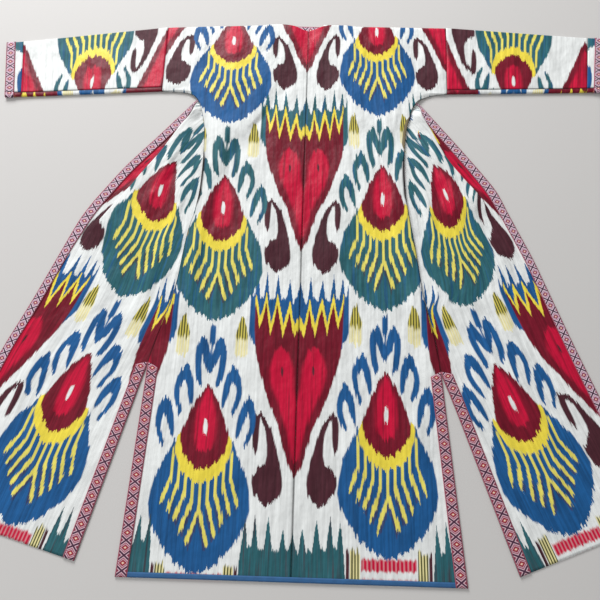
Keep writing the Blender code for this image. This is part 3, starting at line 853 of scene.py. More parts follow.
@dataclass(frozen=True)
class SleeveTube:
    """A flattened sleeve, round from one side of its underarm seam to the other."""

    side: RobeSide

    def length(self) -> float:
        """Its length along the top edge, in loom widths."""
        arm = self.side.arm
        return float(np.hypot(arm.cuff_top[0] - arm.top[0], arm.cuff_top[1] - arm.top[1]))

    def sections(self, distances: Sequence[float]) -> tuple[np.ndarray, np.ndarray]:
        """Works out the middle of the sleeve's wall.

        Args:
            distances: How far from the armhole each section is.

        Returns:
            Plan places with heights, and cloth places, a row for each section.
        """
        arm = {key: np.array(value) for key, value in self.side.arm._asdict().items()}
        bend = (WALL + SLEEVE_HOLLOW) / 2 / LOOM
        whole = self.length()
        rows, cloth = [], []
        for distance in distances:
            share = distance / whole
            top = arm["top"] + (arm["cuff_top"] - arm["top"]) * share
            low = arm["low"] + (arm["cuff_low"] - arm["low"]) * share
            length = float(np.hypot(*(low - top)))
            down = (low - top) / length
            lift = (BRAID_WALL + GAP) * float(smooth((distance - whole + BRAID + CUFF_RAMP) / CUFF_RAMP))
            outline = self.outline(length, bend)
            rows.append([(*(top + down * along), FLOOR + lift + height) for along, height in outline])
            flat = np.array([(along, height / LOOM) for along, height in outline])
            round_it = np.concatenate([[0], np.cumsum(np.hypot(*np.diff(flat, axis=0).T))])
            across = (distance - self.side.sleeve_axis) / 1.045 + 0.5
            start = self.side.sleeve_drop - flat[0, 0]
            cloth.append([(across, start + used) for used in round_it])
        return np.array(rows), np.array(cloth)

    @staticmethod
    def outline(length: float, bend: float) -> list[tuple[float, float]]:
        """Goes round the flattened sleeve from one side of its seam to the other.

        Args:
            length: Its height in plan.
            bend: How far its rounded edges reach in.

        Returns:
            Distance down from the top edge, and height in metres.
        """
        rise = WALL + SLEEVE_HOLLOW
        seam = length - SEAM_BACK

        def turned(centre: float, angle: float) -> tuple[float, float]:
            return centre + bend * math.cos(angle), rise / 2 + rise / 2 * math.sin(angle)

        points = [(float(along), rise) for along in np.linspace(seam, bend, 7)]
        points += [turned(bend, math.pi / 2 + math.pi * step / 5) for step in range(1, 5)]
        points += [(float(along), 0.0) for along in np.linspace(bend, length - bend, 6)]
        points += [turned(length - bend, -math.pi / 2 + math.pi * step / 5) for step in range(1, 5)]
        points += [(length - bend, rise), (seam + GAP / LOOM, rise)]
        return points


def linear(code: str) -> tuple[float, float, float, float]:
    """Turns a hex sRGB colour into the linear colour that a shader reads."""
    parts = [int(code[at : at + 2], 16) / 255 for at in (1, 3, 5)]
    red, green, blue = (part / 12.92 if part <= 0.04045 else ((part + 0.055) / 1.055) ** 2.4 for part in parts)
    return red, green, blue, 1.0


def add_node(tree: bpy.types.NodeTree, kind: str, *inputs: Any, **settings: Any) -> bpy.types.NodeSocket:
    """Adds a node with its settings and links.

    Args:
        tree: The material's nodes.
        kind: The node's type, without its ShaderNode prefix.
        *inputs: A value or a socket for each input in use, in order; None leaves one alone.
        **settings: The node's own properties.

    Returns:
        The first output in use.
    """
    node = tree.nodes.new(f"ShaderNode{kind}")
    for key, value in settings.items():
        setattr(node, key, value)
    for socket, value in zip([one for one in node.inputs if one.enabled], inputs):
        if isinstance(value, bpy.types.NodeSocket):
            tree.links.new(value, socket)
        elif value is not None:
            socket.default_value = value
    return next(one for one in node.outputs if one.enabled)


@dataclass
class Pattern:
    """A pattern drawn with nodes: sums on sockets, masks of motifs, and colours laid over one another."""

    tree: bpy.types.NodeTree

    def sum(self, operation: str, *values: Any) -> bpy.types.NodeSocket:
        """One step of arithmetic."""
        return add_node(self.tree, "Math", *values, operation=operation)

    def soft(self, value: Any, low: float, high: float) -> bpy.types.NodeSocket:
        """Rises from 0 at low to 1 at high."""
        return add_node(self.tree, "MapRange", value, low, high, 0.0, 1.0, interpolation_type="SMOOTHSTEP")

    def edge(self, at: Any, rows: Sequence[tuple[float, float]], rounded: bool = False) -> Any:
        """Reads one edge of a motif.

        Args:
            at: The place along the motif.
            rows: Places along it and the edge's distance there, in order.
            rounded: Whether the edge runs smoothly through its points.

        Returns:
            The edge's distance from the axis.
        """
        low, high = rows[0][0], rows[-1][0]
        share = add_node(self.tree, "MapRange", at, low, high, 0.0, 1.0)
        drawn = add_node(self.tree, "FloatCurve", 1.0, share)
        mapping = drawn.node.mapping
        mapping.use_clip = False
        points = mapping.curves[0].points
        for _ in rows[2:]:
            points.new(0.5, 0.5)
        for point, (place, distance) in zip(points, rows):
            point.location = ((place - low) / (high - low), distance)
            point.handle_type = "AUTO" if rounded else "VECTOR"
        mapping.update()
        return drawn

    def inside(self, along: Any, off: Any, rows: Sequence[Outline], blur: float = 0.004) -> Any:
        """Masks a motif between its inner and outer edge.

        Args:
            along: The place down the cloth.
            off: The distance from the motif's axis.
            rows: The motif's outline.
            blur: How soft its edge is.

        Returns:
            1 inside the motif and 0 outside.
        """
        outer = self.edge(along, [(row.v, row.outer) for row in rows])
        room = self.sum("SUBTRACT", outer, off)
        if any(row.inner > -1 for row in rows):
            inner = self.edge(along, [(row.v, row.inner) for row in rows])
            room = self.sum("MINIMUM", room, self.sum("SUBTRACT", off, inner))
        return self.soft(room, -blur, blur)

    def over(self, under: Any, mask: Any, colour: Any) -> bpy.types.NodeSocket:
        """Lays a colour over another where the mask is 1."""
        return add_node(self.tree, "Mix", mask, under, colour, data_type="RGBA")


def solid(rows: Sequence[tuple[float, float]]) -> tuple[Outline, ...]:
    """An outline round the axis itself, from places down the cloth and half widths."""
    return tuple(Outline(v, -2.0, half) for v, half in rows)


# The medallion that lies one repeat down the back: places down the cloth, distances from its axis
BODY = solid((
    (1.44, -0.02), (1.47, 0.15), (1.50, 0.175), (1.55, 0.195), (1.60, 0.222), (1.68, 0.260), (1.76, 0.277),
    (1.85, 0.285), (1.92, 0.270), (1.98, 0.240), (2.07, 0.180), (2.14, 0.110), (2.175, 0.040), (2.20, -0.02),
))
BAND = solid((
    (1.445, -0.02), (1.455, 0.12), (1.47, 0.158), (1.51, 0.165), (1.56, 0.158), (1.62, 0.138),
    (1.67, 0.103), (1.70, 0.062), (1.72, 0.0), (1.735, -0.02),
))
TEARDROP = solid((
    (1.15, -0.02), (1.165, 0.006), (1.20, 0.032), (1.25, 0.060), (1.30, 0.085), (1.35, 0.103), (1.40, 0.120),
    (1.44, 0.135), (1.47, 0.141), (1.51, 0.138), (1.55, 0.122), (1.60, 0.085), (1.635, 0.040), (1.655, -0.02),
))
CORE = solid((
    (1.17, -0.02), (1.20, 0.012), (1.24, 0.028), (1.29, 0.046), (1.33, 0.058), (1.40, 0.063), (1.48, 0.060),
    (1.53, 0.044), (1.57, -0.02),
))
EYE = solid(((1.355, -0.02), (1.375, 0.009), (1.40, 0.013), (1.43, 0.012), (1.455, 0.008), (1.47, -0.02)))
RAY_ENDS = ((0.0, 2.08), (0.05, 2.07), (0.09, 2.02), (0.13, 1.96), (0.17, 1.90), (0.22, 1.85), (0.25, 1.50))

# Its crown: a bud, then each arch as its outer and inner leg
MOTIF_ROWS = {
    "bud": (
        (0.785, 0.014, 0.008), (0.80, 0.006, 0.016), (0.825, -0.02, 0.018), (0.905, -0.02, 0.018),
        (0.93, -0.02, 0.006), (1.00, -0.02, 0.003), (1.03, -0.02, -0.03),
    ),
    "top_arch": (
        (0.862, 0.050, 0.036), (0.885, 0.032, 0.070), (0.92, 0.021, 0.087), (0.955, 0.012, 0.091),
        (0.985, 0.002, 0.054), (1.02, -0.03, 0.041), (1.06, -0.03, 0.024), (1.095, -0.03, 0.006),
        (1.11, -0.03, -0.04),
    ),
    "top_leg": (
        (0.93, 0.082, 0.070), (0.95, 0.060, 0.095), (1.00, 0.055, 0.096), (1.05, 0.054, 0.093),
        (1.10, 0.048, 0.086), (1.14, 0.040, 0.076), (1.165, 0.042, 0.062), (1.18, 0.056, 0.046),
    ),
    "middle_outer": (
        (1.04, 0.150, 0.130), (1.07, 0.125, 0.165), (1.12, 0.130, 0.190), (1.17, 0.165, 0.200),
        (1.21, 0.170, 0.202), (1.25, 0.163, 0.195), (1.29, 0.150, 0.182), (1.33, 0.143, 0.165),
        (1.35, 0.156, 0.148),
    ),
    "middle_inner": (
        (1.04, 0.150, 0.130), (1.07, 0.118, 0.165), (1.12, 0.100, 0.172), (1.16, 0.091, 0.140),
        (1.20, 0.087, 0.124), (1.24, 0.084, 0.115), (1.28, 0.085, 0.104), (1.31, 0.096, 0.084),
    ),
    "low_outer": (
        (1.22, 0.252, 0.238), (1.26, 0.225, 0.270), (1.31, 0.235, 0.286), (1.36, 0.255, 0.292),
        (1.41, 0.257, 0.290), (1.45, 0.246, 0.276), (1.49, 0.230, 0.258), (1.51, 0.230, 0.246),
        (1.53, 0.244, 0.230),
    ),
    "low_inner": (
        (1.22, 0.252, 0.238), (1.26, 0.218, 0.262), (1.31, 0.198, 0.262), (1.35, 0.187, 0.232),
        (1.39, 0.181, 0.220), (1.43, 0.178, 0.208), (1.46, 0.179, 0.196), (1.49, 0.190, 0.178),
    ),
    "heart": (
        (1.045, 0.110, 0.085), (1.08, 0.060, 0.130), (1.13, 0.038, 0.150), (1.19, 0.024, 0.162),
        (1.25, 0.022, 0.156), (1.32, 0.016, 0.136), (1.38, 0.002, 0.112), (1.48, -0.05, 0.076),
        (1.56, -0.05, 0.047), (1.64, -0.05, 0.028), (1.72, -0.05, 0.012), (1.76, -0.05, -0.06),
    ),
    "slit": ((1.17, 0.094, 0.086), (1.19, 0.084, 0.096), (1.22, 0.084, 0.096), (1.25, 0.094, 0.086)),
    "hook": (
        (1.455, 0.205, 0.186), (1.48, 0.172, 0.214), (1.51, 0.150, 0.184), (1.55, 0.132, 0.166),
        (1.62, 0.112, 0.154), (1.68, 0.095, 0.152), (1.73, 0.080, 0.160), (1.765, 0.072, 0.196),
        (1.80, 0.066, 0.225), (1.85, 0.064, 0.227), (1.90, 0.072, 0.214), (1.945, 0.102, 0.178),
        (1.97, 0.150, 0.130),
    ),
    "hook_curl": (
        (1.445, 0.210, 0.200), (1.47, 0.188, 0.229), (1.50, 0.198, 0.236), (1.55, 0.201, 0.238),
        (1.60, 0.201, 0.236), (1.65, 0.204, 0.231), (1.69, 0.218, 0.210),
    ),
}
MOTIFS = {name: tuple(Outline(*row) for row in rows) for name, rows in MOTIF_ROWS.items()}
CROWN = tuple(name for name in MOTIF_ROWS if name.startswith(("bud", "top", "middle", "low")))
TICK = ((0.73, -0.01), (0.77, 0.012), (0.82, 0.026), (0.88, 0.036), (1.00, 0.037), (1.02, -0.01))

# The cone at the selvedge: edges down the cloth at distances from the selvedge, and the other way round
SPIKES = (
    (0.0, 0.63), (0.018, 0.735), (0.042, 0.765), (0.063, 0.605), (0.080, 0.735), (0.110, 0.760),
    (0.133, 0.590), (0.149, 0.730), (0.178, 0.752), (0.199, 0.580), (0.214, 0.725), (0.232, 0.740),
    (0.252, 0.580), (0.266, 0.725), (0.277, 0.72), (0.284, 0.645), (0.30, 0.76),
)
ZIGZAG = (
    (0.0, 0.860), (0.026, 0.915), (0.060, 0.752), (0.094, 0.920), (0.132, 0.716), (0.165, 0.900),
    (0.198, 0.714), (0.228, 0.868), (0.256, 0.716), (0.30, 0.800),
)
ZIGZAG_DEEP = ((0.0, 0.075), (0.10, 0.078), (0.20, 0.072), (0.26, 0.066), (0.30, 0.050))
CONE_STRIP = solid(((0.58, 0.26), (0.64, 0.289), (0.96, 0.290), (1.01, 0.275), (1.05, 0.250), (1.08, -0.02)))
CONE_BODY = solid((
    (0.70, 0.262), (0.95, 0.256), (1.10, 0.245), (1.20, 0.220), (1.30, 0.190), (1.43, 0.140), (1.53, 0.100),
    (1.65, 0.062), (1.77, 0.022), (1.86, -0.02),
))

# The border above the hem
HEM_SPIKES = (
    (0.0, 3.49), (0.014, 3.585), (0.030, 3.60), (0.050, 3.48), (0.070, 3.585), (0.104, 3.60),
    (0.128, 3.42), (0.146, 3.570), (0.176, 3.59), (0.200, 3.42), (0.212, 3.560), (0.232, 3.58),
    (0.250, 3.43), (0.264, 3.570), (0.280, 3.80),
)


@dataclass(frozen=True)
class IkatSilk:
    """Glossy hand-dyed ikat: flat silk whose motifs feather along each group of warp threads."""

    name: str = "ikat_silk"
    ground: str = "#eaedec"
    maroon: str = "#741026"
    crimson: str = "#cc0d3b"
    bark: str = "#4a222c"
    blue: str = "#1a5891"
    teal: str = "#2c636c"
    yellow: str = "#f3de4c"
    ray: str = "#ebdf6a"
    straw: str = "#ece2a4"
    ochre: str = "#d4c65a"
    olive: str = "#4f5128"
    # The lining painted as it looks in the shade of the side seam's fold, then the painted shadow in that seam
    shaded_lining: str = "#84775c"
    shadow: str = "#1b0a0e"
    repeat: float = 1.42
    cone_repeat: float = 1.40
    thread: float = 0.0012  # metres, one group of warp threads
    bundle: float = 0.0031  # metres, one tied bundle
    rib: float = 0.000024  # metres, how far a weft rib stands up
    unevenness: float = 0.011  # metres, how far the cloth wanders off flat between its folds
    roughness: float = 0.62
    polish: float = 0.45  # roughness of the red and yellow threads, which lie flatter and shine more

    def make(self) -> bpy.types.Material:
        """Builds the material.

        Returns:
            A material that reads the cloth UV map, in loom widths, and the piece, drop and seam attributes.
        """
        material = bpy.data.materials.new(self.name)
        material.use_nodes = True
        tree = material.node_tree
        shader = tree.nodes["Principled BSDF"]
        pattern = Pattern(tree)
        uv = add_node(tree, "UVMap", uv_map="cloth")
        across, down = self.split(tree, uv)
        salt = add_node(tree, "Attribute", attribute_name="piece").node.outputs["Fac"]
        drop = add_node(tree, "Attribute", attribute_name="drop").node.outputs["Fac"]
        axis_off, selvedge_off, feathered = self.woven(pattern, across, down, salt)
        lowered = pattern.sum("SUBTRACT", feathered, drop)
        medallion, other = self.cells(pattern, lowered, 0.78, self.repeat, 3.62)
        cone, cone_other = self.cells(pattern, feathered, 0.58, self.cone_repeat, 3.37)
        uneven = self.uneven(pattern, across, down, salt)
        blued = pattern.sum("MULTIPLY", uneven, 0.55)
        dye = pattern.over(linear(self.teal), pattern.sum("MAXIMUM", other, blued), linear(self.blue))
        cone_blue = pattern.sum("MAXIMUM", cone_other, blued)
        cone_dye = pattern.over(linear(self.teal), cone_blue, linear(self.blue))
        run = pattern.sum("MULTIPLY", uneven, 0.6)
        crimson = pattern.over(linear(self.crimson), run, linear(self.maroon))
        tick = self.cells(pattern, lowered, 0.58, self.cone_repeat, 3.37)[0]
        medallion_off = pattern.sum("MULTIPLY", axis_off, 1.055)
        colour = self.ticks(pattern, linear(self.ground), tick, axis_off, across)
        outer = pattern.sum("MULTIPLY", pattern.soft(across, 0.49, 0.51), pattern.soft(down, 1.30, 1.32))
        shown = pattern.sum("SUBTRACT", 1.0, outer)
        for name in ("hook", "hook_curl"):
            hook = pattern.sum("MULTIPLY", pattern.inside(cone, selvedge_off, MOTIFS[name]), shown)
            colour = pattern.over(colour, hook, linear(self.bark))
        colour = self.cones(pattern, colour, cone, selvedge_off, cone_dye, crimson)
        colour = self.medallions(pattern, colour, medallion, medallion_off, dye, crimson)
        calm = pattern.sum("SUBTRACT", down, drop)
        calm = pattern.sum("MULTIPLY_ADD", pattern.sum("SUBTRACT", feathered, down), 0.45, calm)
        hem_run = pattern.sum("MULTIPLY", uneven, 0.6)
        hem_dye = pattern.over(linear(self.teal), hem_run, linear(self.bark))
        spikes = pattern.sum("SUBTRACT", feathered, pattern.edge(selvedge_off, HEM_SPIKES))
        colour = pattern.over(colour, pattern.soft(spikes, -0.006, 0.006), hem_dye)
        colour = self.border(pattern, colour, lowered, calm, axis_off, across)
        colour = self.streaked_and_shaded(pattern, colour, across, down, salt)
        tree.links.new(colour, shader.inputs["Base Color"])
        parts = add_node(tree, "SeparateColor", colour).node.outputs
        warm = pattern.soft(pattern.sum("SUBTRACT", parts[0], parts[1]), 0.06, 0.14)
        rough = add_node(tree, "MapRange", warm, 0.0, 1.0, self.roughness, self.polish)
        tree.links.new(rough, shader.inputs["Roughness"])
        self.surface(pattern, shader, across, down, salt)
        return material

    def uneven(self, pattern: Pattern, across: Any, down: Any, salt: Any) -> Any:
        """Masks long streaks where one dye ran into the next."""
        stretched = self.joined(
            pattern, pattern.sum("MULTIPLY", across, 55.0), pattern.sum("MULTIPLY", down, 2.2), salt
        )
        noise = add_node(pattern.tree, "TexNoise", stretched, 1.0, 2.0, 0.6, noise_dimensions="3D")
        return pattern.soft(noise, 0.48, 0.68)

    def split(self, tree: bpy.types.NodeTree, vector: Any) -> tuple[Any, Any]:
        """The first two parts of a vector."""
        parts = add_node(tree, "SeparateXYZ", vector).node.outputs
        return parts[0], parts[1]

    def woven(self, pattern: Pattern, across: Any, down: Any, salt: Any) -> tuple[Any, Any, Any]:
        """Steps the pattern thread by thread, as tied and dyed warps shift on the loom.

        Args:
            pattern: Where the nodes go.
            across: Place across the cloth, in loom widths.
            down: Place down it.
            salt: A number for the piece, so that no two pieces feather alike.

        Returns:
            Distance from the motifs' axis, distance from the selvedge, and the shifted place down.
        """
        threads, bundles = LOOM / self.thread, LOOM / self.bundle
        wander = add_node(
            pattern.tree, "TexNoise", self.joined(pattern, across, down, salt), 3.0, 1.0, 0.5,
            noise_dimensions="3D",
        )
        swayed = pattern.sum("MULTIPLY_ADD", wander, 0.012, across)
        swayed = pattern.sum("SUBTRACT", swayed, 0.006)
        thread = pattern.sum("FLOOR", pattern.sum("MULTIPLY", swayed, threads))
        bundle = pattern.sum("FLOOR", pattern.sum("MULTIPLY", swayed, bundles))
        stepped = pattern.sum("DIVIDE", pattern.sum("ADD", thread, 0.5), threads)
        fine = add_node(
            pattern.tree, "TexWhiteNoise", pattern.sum("MULTIPLY_ADD", salt, 31.7, thread),
            noise_dimensions="1D",
        )
        coarse = add_node(
            pattern.tree, "TexWhiteNoise", pattern.sum("MULTIPLY_ADD", salt, 57.3, bundle),
            noise_dimensions="1D",
        )
        slow = add_node(
            pattern.tree, "TexNoise", pattern.sum("MULTIPLY_ADD", salt, 9.0, across), 42.0, 1.0, 0.5,
            noise_dimensions="1D",
        )
        shifted = pattern.sum("MULTIPLY_ADD", fine, 0.016, down)
        shifted = pattern.sum("MULTIPLY_ADD", coarse, 0.024, shifted)
        shifted = pattern.sum("MULTIPLY_ADD", slow, 0.034, shifted)
        shifted = pattern.sum("MULTIPLY_ADD", wander, 0.030, shifted)
        shifted = pattern.sum("SUBTRACT", shifted, 0.052)
        axis_off = pattern.sum("ABSOLUTE", pattern.sum("SUBTRACT", stepped, 0.5))
        selvedge_off = pattern.sum("ABSOLUTE", pattern.sum("SUBTRACT", 0.5, axis_off))
        return axis_off, selvedge_off, shifted

    def joined(self, pattern: Pattern, across: Any, down: Any, salt: Any) -> Any:
        """Places on the cloth as one vector, each piece on its own."""
        return add_node(pattern.tree, "CombineXYZ", across, down, salt)

    def cells(self, pattern: Pattern, down: Any, start: float, repeat: float, last: float) -> tuple[Any, Any]:
        """Brings every repeat of a motif to the same place.

        Args:
            pattern: Where the nodes go.
            down: Place down the cloth.
            start: Where the drawn repeat starts.
            repeat: Its length.
            last: Where the last repeat ends; below it the place is 0, which no motif reaches.

        Returns:
            Place down the drawn repeat, and 1 in every other one.
        """
        turns = pattern.sum("FLOOR", pattern.sum("DIVIDE", pattern.sum("SUBTRACT", down, start), repeat))
        place = pattern.sum("SUBTRACT", down, pattern.sum("MULTIPLY", turns, repeat))
        place = pattern.sum("MULTIPLY", place, pattern.sum("LESS_THAN", down, last))
        return place, pattern.sum("FLOORED_MODULO", turns, 2.0)

    def stripes(self, pattern: Pattern, place: Any, period: float, share: float) -> Any:
        """Masks even stripes: 1 over this share of each period."""
        off = pattern.sum("PINGPONG", place, period / 2)
        return pattern.soft(off, period * share / 2 + 0.002, period * share / 2 - 0.002)

    def ticks(self, pattern: Pattern, colour: Any, cone: Any, off: Any, across: Any) -> Any:
        """The small striped ticks between the medallions: dark above, pale below."""
        half = pattern.edge(cone, TICK)
        away = pattern.sum("ABSOLUTE", pattern.sum("SUBTRACT", off, 0.17))
        mask = pattern.soft(pattern.sum("SUBTRACT", half, away), -0.003, 0.003)
        stripe = self.stripes(pattern, across, 0.0155, 0.5)
        low = pattern.soft(cone, 0.885, 0.915)
        dark = pattern.over(linear(self.ochre), stripe, linear(self.olive))
        pale = pattern.over(linear(self.ground), stripe, linear(self.straw))
        tick = pattern.over(dark, low, pattern.over(linear(self.straw), 0.45, pale))
        return pattern.over(colour, mask, tick)

    def cones(self, pattern: Pattern, colour: Any, cone: Any, off: Any, dye: Any, crimson: Any) -> Any:
        """The cones along the selvedges: dyed spikes, a yellow zigzag, and a maroon body with its heart."""
        below_tips = pattern.soft(pattern.sum("SUBTRACT", cone, pattern.edge(off, SPIKES)), -0.006, 0.006)
        crown = pattern.sum("MULTIPLY", below_tips, pattern.inside(cone, off, CONE_STRIP))
        colour = pattern.over(colour, crown, dye)
        under = pattern.sum("SUBTRACT", cone, pattern.edge(off, ZIGZAG))
        body = pattern.inside(cone, off, CONE_BODY)
        body = pattern.sum("MULTIPLY", body, pattern.soft(under, -0.006, 0.006))
        colour = pattern.over(colour, body, linear(self.maroon))
        room = pattern.sum("SUBTRACT", pattern.edge(off, ZIGZAG_DEEP), under)
        zigzag = pattern.sum("MULTIPLY", body, pattern.soft(room, -0.008, 0.008))
        colour = pattern.over(colour, zigzag, linear(self.yellow))
        heart = pattern.inside(cone, off, MOTIFS["heart"], 0.014)
        colour = pattern.over(colour, heart, crimson)
        return pattern.over(colour, pattern.inside(cone, off, MOTIFS["slit"]), linear(self.bark))

    def medallions(
        self, pattern: Pattern, colour: Any, place: Any, off: Any, dye: Any, crimson: Any
    ) -> Any:
        """The rayed medallions with their crowns of arches."""
        for rows in (*(MOTIFS[name] for name in CROWN), BODY):
            colour = pattern.over(colour, pattern.inside(place, off, rows), dye)
        knee = pattern.sum("MULTIPLY_ADD", off, -1.0, 1.86)
        bent = pattern.sum("MULTIPLY", pattern.sum("MAXIMUM", pattern.sum("SUBTRACT", place, knee), 0.0), 0.25)
        straight = pattern.sum("SUBTRACT", off, bent)
        room = pattern.sum("SUBTRACT", pattern.edge(off, RAY_ENDS), place)
        length = pattern.sum(
            "MULTIPLY", pattern.soft(room, 0.0, 0.012), pattern.soft(place, 1.54, 1.56)
        )
        length = pattern.sum("MULTIPLY", length, pattern.soft(straight, -0.022, -0.018))
        length = pattern.sum("MULTIPLY", length, pattern.soft(straight, 0.190, 0.186))
        beside = pattern.sum("PINGPONG", pattern.sum("ADD", straight, 0.0125), 0.021)
        shade = pattern.sum("MULTIPLY", pattern.soft(beside, 0.008, 0.004), pattern.soft(place, 1.80, 1.90))
        shade = pattern.sum("MULTIPLY", pattern.sum("MULTIPLY", shade, length), 0.5)
        colour = pattern.over(colour, shade, linear(self.bark))
        wide = pattern.sum("MINIMUM", pattern.sum("MULTIPLY_ADD", room, 0.10, 0.004), 0.0080)
        ray = pattern.soft(
            pattern.sum("SUBTRACT", wide, pattern.sum("PINGPONG", straight, 0.021)), -0.002, 0.002
        )
        colour = pattern.over(colour, pattern.sum("MULTIPLY", ray, length), linear(self.ray))
        colour = pattern.over(colour, pattern.inside(place, off, BAND), linear(self.yellow))
        colour = pattern.over(colour, pattern.inside(place, off, TEARDROP), linear(self.maroon))
        colour = pattern.over(colour, pattern.inside(place, off, CORE, 0.016), crimson)
        return pattern.over(colour, pattern.inside(place, off, EYE), linear(self.ground))

    def border(self, pattern: Pattern, colour: Any, down: Any, calm: Any, off: Any, across: Any) -> Any:
        """The dyed border above the hem, between its spikes: bars, stripes and rows of dashes."""
        low = pattern.soft(down, 3.555, 3.575)
        bar = pattern.soft(pattern.sum("ABSOLUTE", pattern.sum("SUBTRACT", off, 0.213)), 0.010, 0.006)
        colour = pattern.over(colour, pattern.sum("MULTIPLY", bar, low), linear(self.bark))
        band = pattern.soft(pattern.sum("ABSOLUTE", pattern.sum("SUBTRACT", off, 0.175)), 0.028, 0.024)
        stripe = self.stripes(pattern, across, 0.0155, 0.5)
        striped = pattern.over(linear(self.straw), stripe, linear(self.olive))
        colour = pattern.over(colour, pattern.sum("MULTIPLY", band, low), striped)
        for top, bottom, depth in ((3.598, 3.676, 1.0), (3.697, 3.74, 0.6)):
            row = pattern.soft(calm, top, top + 0.02)
            row = pattern.sum("MULTIPLY", row, pattern.soft(calm, bottom, bottom - 0.015))
            strokes = pattern.sum("MULTIPLY_ADD", self.stripes(pattern, across, 0.021, 0.6), 0.28, 0.72)
            row = pattern.sum("MULTIPLY", pattern.sum("MULTIPLY", row, strokes), depth)
            row = pattern.sum("MULTIPLY", row, pattern.soft(off, 0.146, 0.140))
            colour = pattern.over(colour, row, linear(self.crimson))
        return colour

    def streaked_and_shaded(self, pattern: Pattern, colour: Any, across: Any, down: Any, salt: Any) -> Any:
        """Varies each dye thread by thread, the dark ones most, and paints shade and shadow by the seams."""
        stretched = self.joined(
            pattern, pattern.sum("MULTIPLY", across, 62.0), pattern.sum("MULTIPLY", down, 2.2), salt
        )
        streak = add_node(pattern.tree, "TexNoise", stretched, 1.0, 4.0, 0.65, noise_dimensions="3D")
        depth = add_node(pattern.tree, "SeparateColor", colour, mode="HSV").node.outputs[2]
        depth = pattern.sum("MULTIPLY_ADD", depth, -1.8, 2.3)
        tone = pattern.sum("MULTIPLY_ADD", pattern.sum("SUBTRACT", streak, 0.5), depth, 1.0)
        seam = add_node(pattern.tree, "Attribute", attribute_name="seam").node.outputs["Fac"]
        # Painted shade: a thin dark line along each seam and a wide soft darkening beside it
        painted_seam_shade = pattern.sum("MULTIPLY_ADD", pattern.soft(seam, 0.0026, 0.0008), -0.5, 1.0)
        painted_valley_shade = pattern.sum("MULTIPLY_ADD", pattern.soft(seam, 0.015, 0.0), -0.10, 1.0)
        tone = pattern.sum("MULTIPLY", pattern.sum("MULTIPLY", tone, painted_seam_shade), painted_valley_shade)
        colour = add_node(pattern.tree, "HueSaturation", 0.5, 1.0, tone, 1.0, colour)
        # Painted shade: the lining's colour as it looks in the shade of the side seam's fold
        shaded_lining = add_node(pattern.tree, "Attribute", attribute_name="shaded_lining").node.outputs["Fac"]
        colour = pattern.over(colour, pattern.soft(shaded_lining, 0.45, 0.55), linear(self.shaded_lining))
        # Painted shadow: near-black where the seam distance is below 0, as if the side seam stood open
        painted_gap_shadow = pattern.sum("MULTIPLY", pattern.soft(seam, 0.0, -0.0006), 0.9)
        return pattern.over(colour, painted_gap_shadow, linear(self.shadow))

    def surface(self, pattern: Pattern, shader: bpy.types.Node, across: Any, down: Any, salt: Any) -> None:
        """Gives the cloth its fine weft ribs, its slight unevenness and its soft silk gloss."""
        ribs = pattern.sum("SINE", pattern.sum("MULTIPLY", down, LOOM / 0.0009 * math.tau))
        warp = pattern.sum("SINE", pattern.sum("MULTIPLY", across, LOOM / self.thread * math.tau))
        height = pattern.sum("MULTIPLY_ADD", warp, 0.4, ribs)
        place = self.joined(
            pattern, pattern.sum("MULTIPLY", across, 7.0), pattern.sum("MULTIPLY", down, 4.0), salt
        )
        uneven = add_node(pattern.tree, "TexNoise", place, 1.0, 3.0, 0.45, noise_dimensions="3D")
        height = pattern.sum("MULTIPLY_ADD", uneven, self.unevenness / self.rib, height)
        bump = add_node(pattern.tree, "Bump").node
        bump.inputs["Strength"].default_value = 1.0
        bump.inputs["Distance"].default_value = self.rib
        pattern.tree.links.new(height, bump.inputs["Height"])
        pattern.tree.links.new(bump.outputs[0], shader.inputs["Normal"])
        shader.inputs["IOR"].default_value = 1.28
        shader.inputs["Sheen Weight"].default_value = 0.03
        shader.inputs["Sheen Roughness"].default_value = 0.4


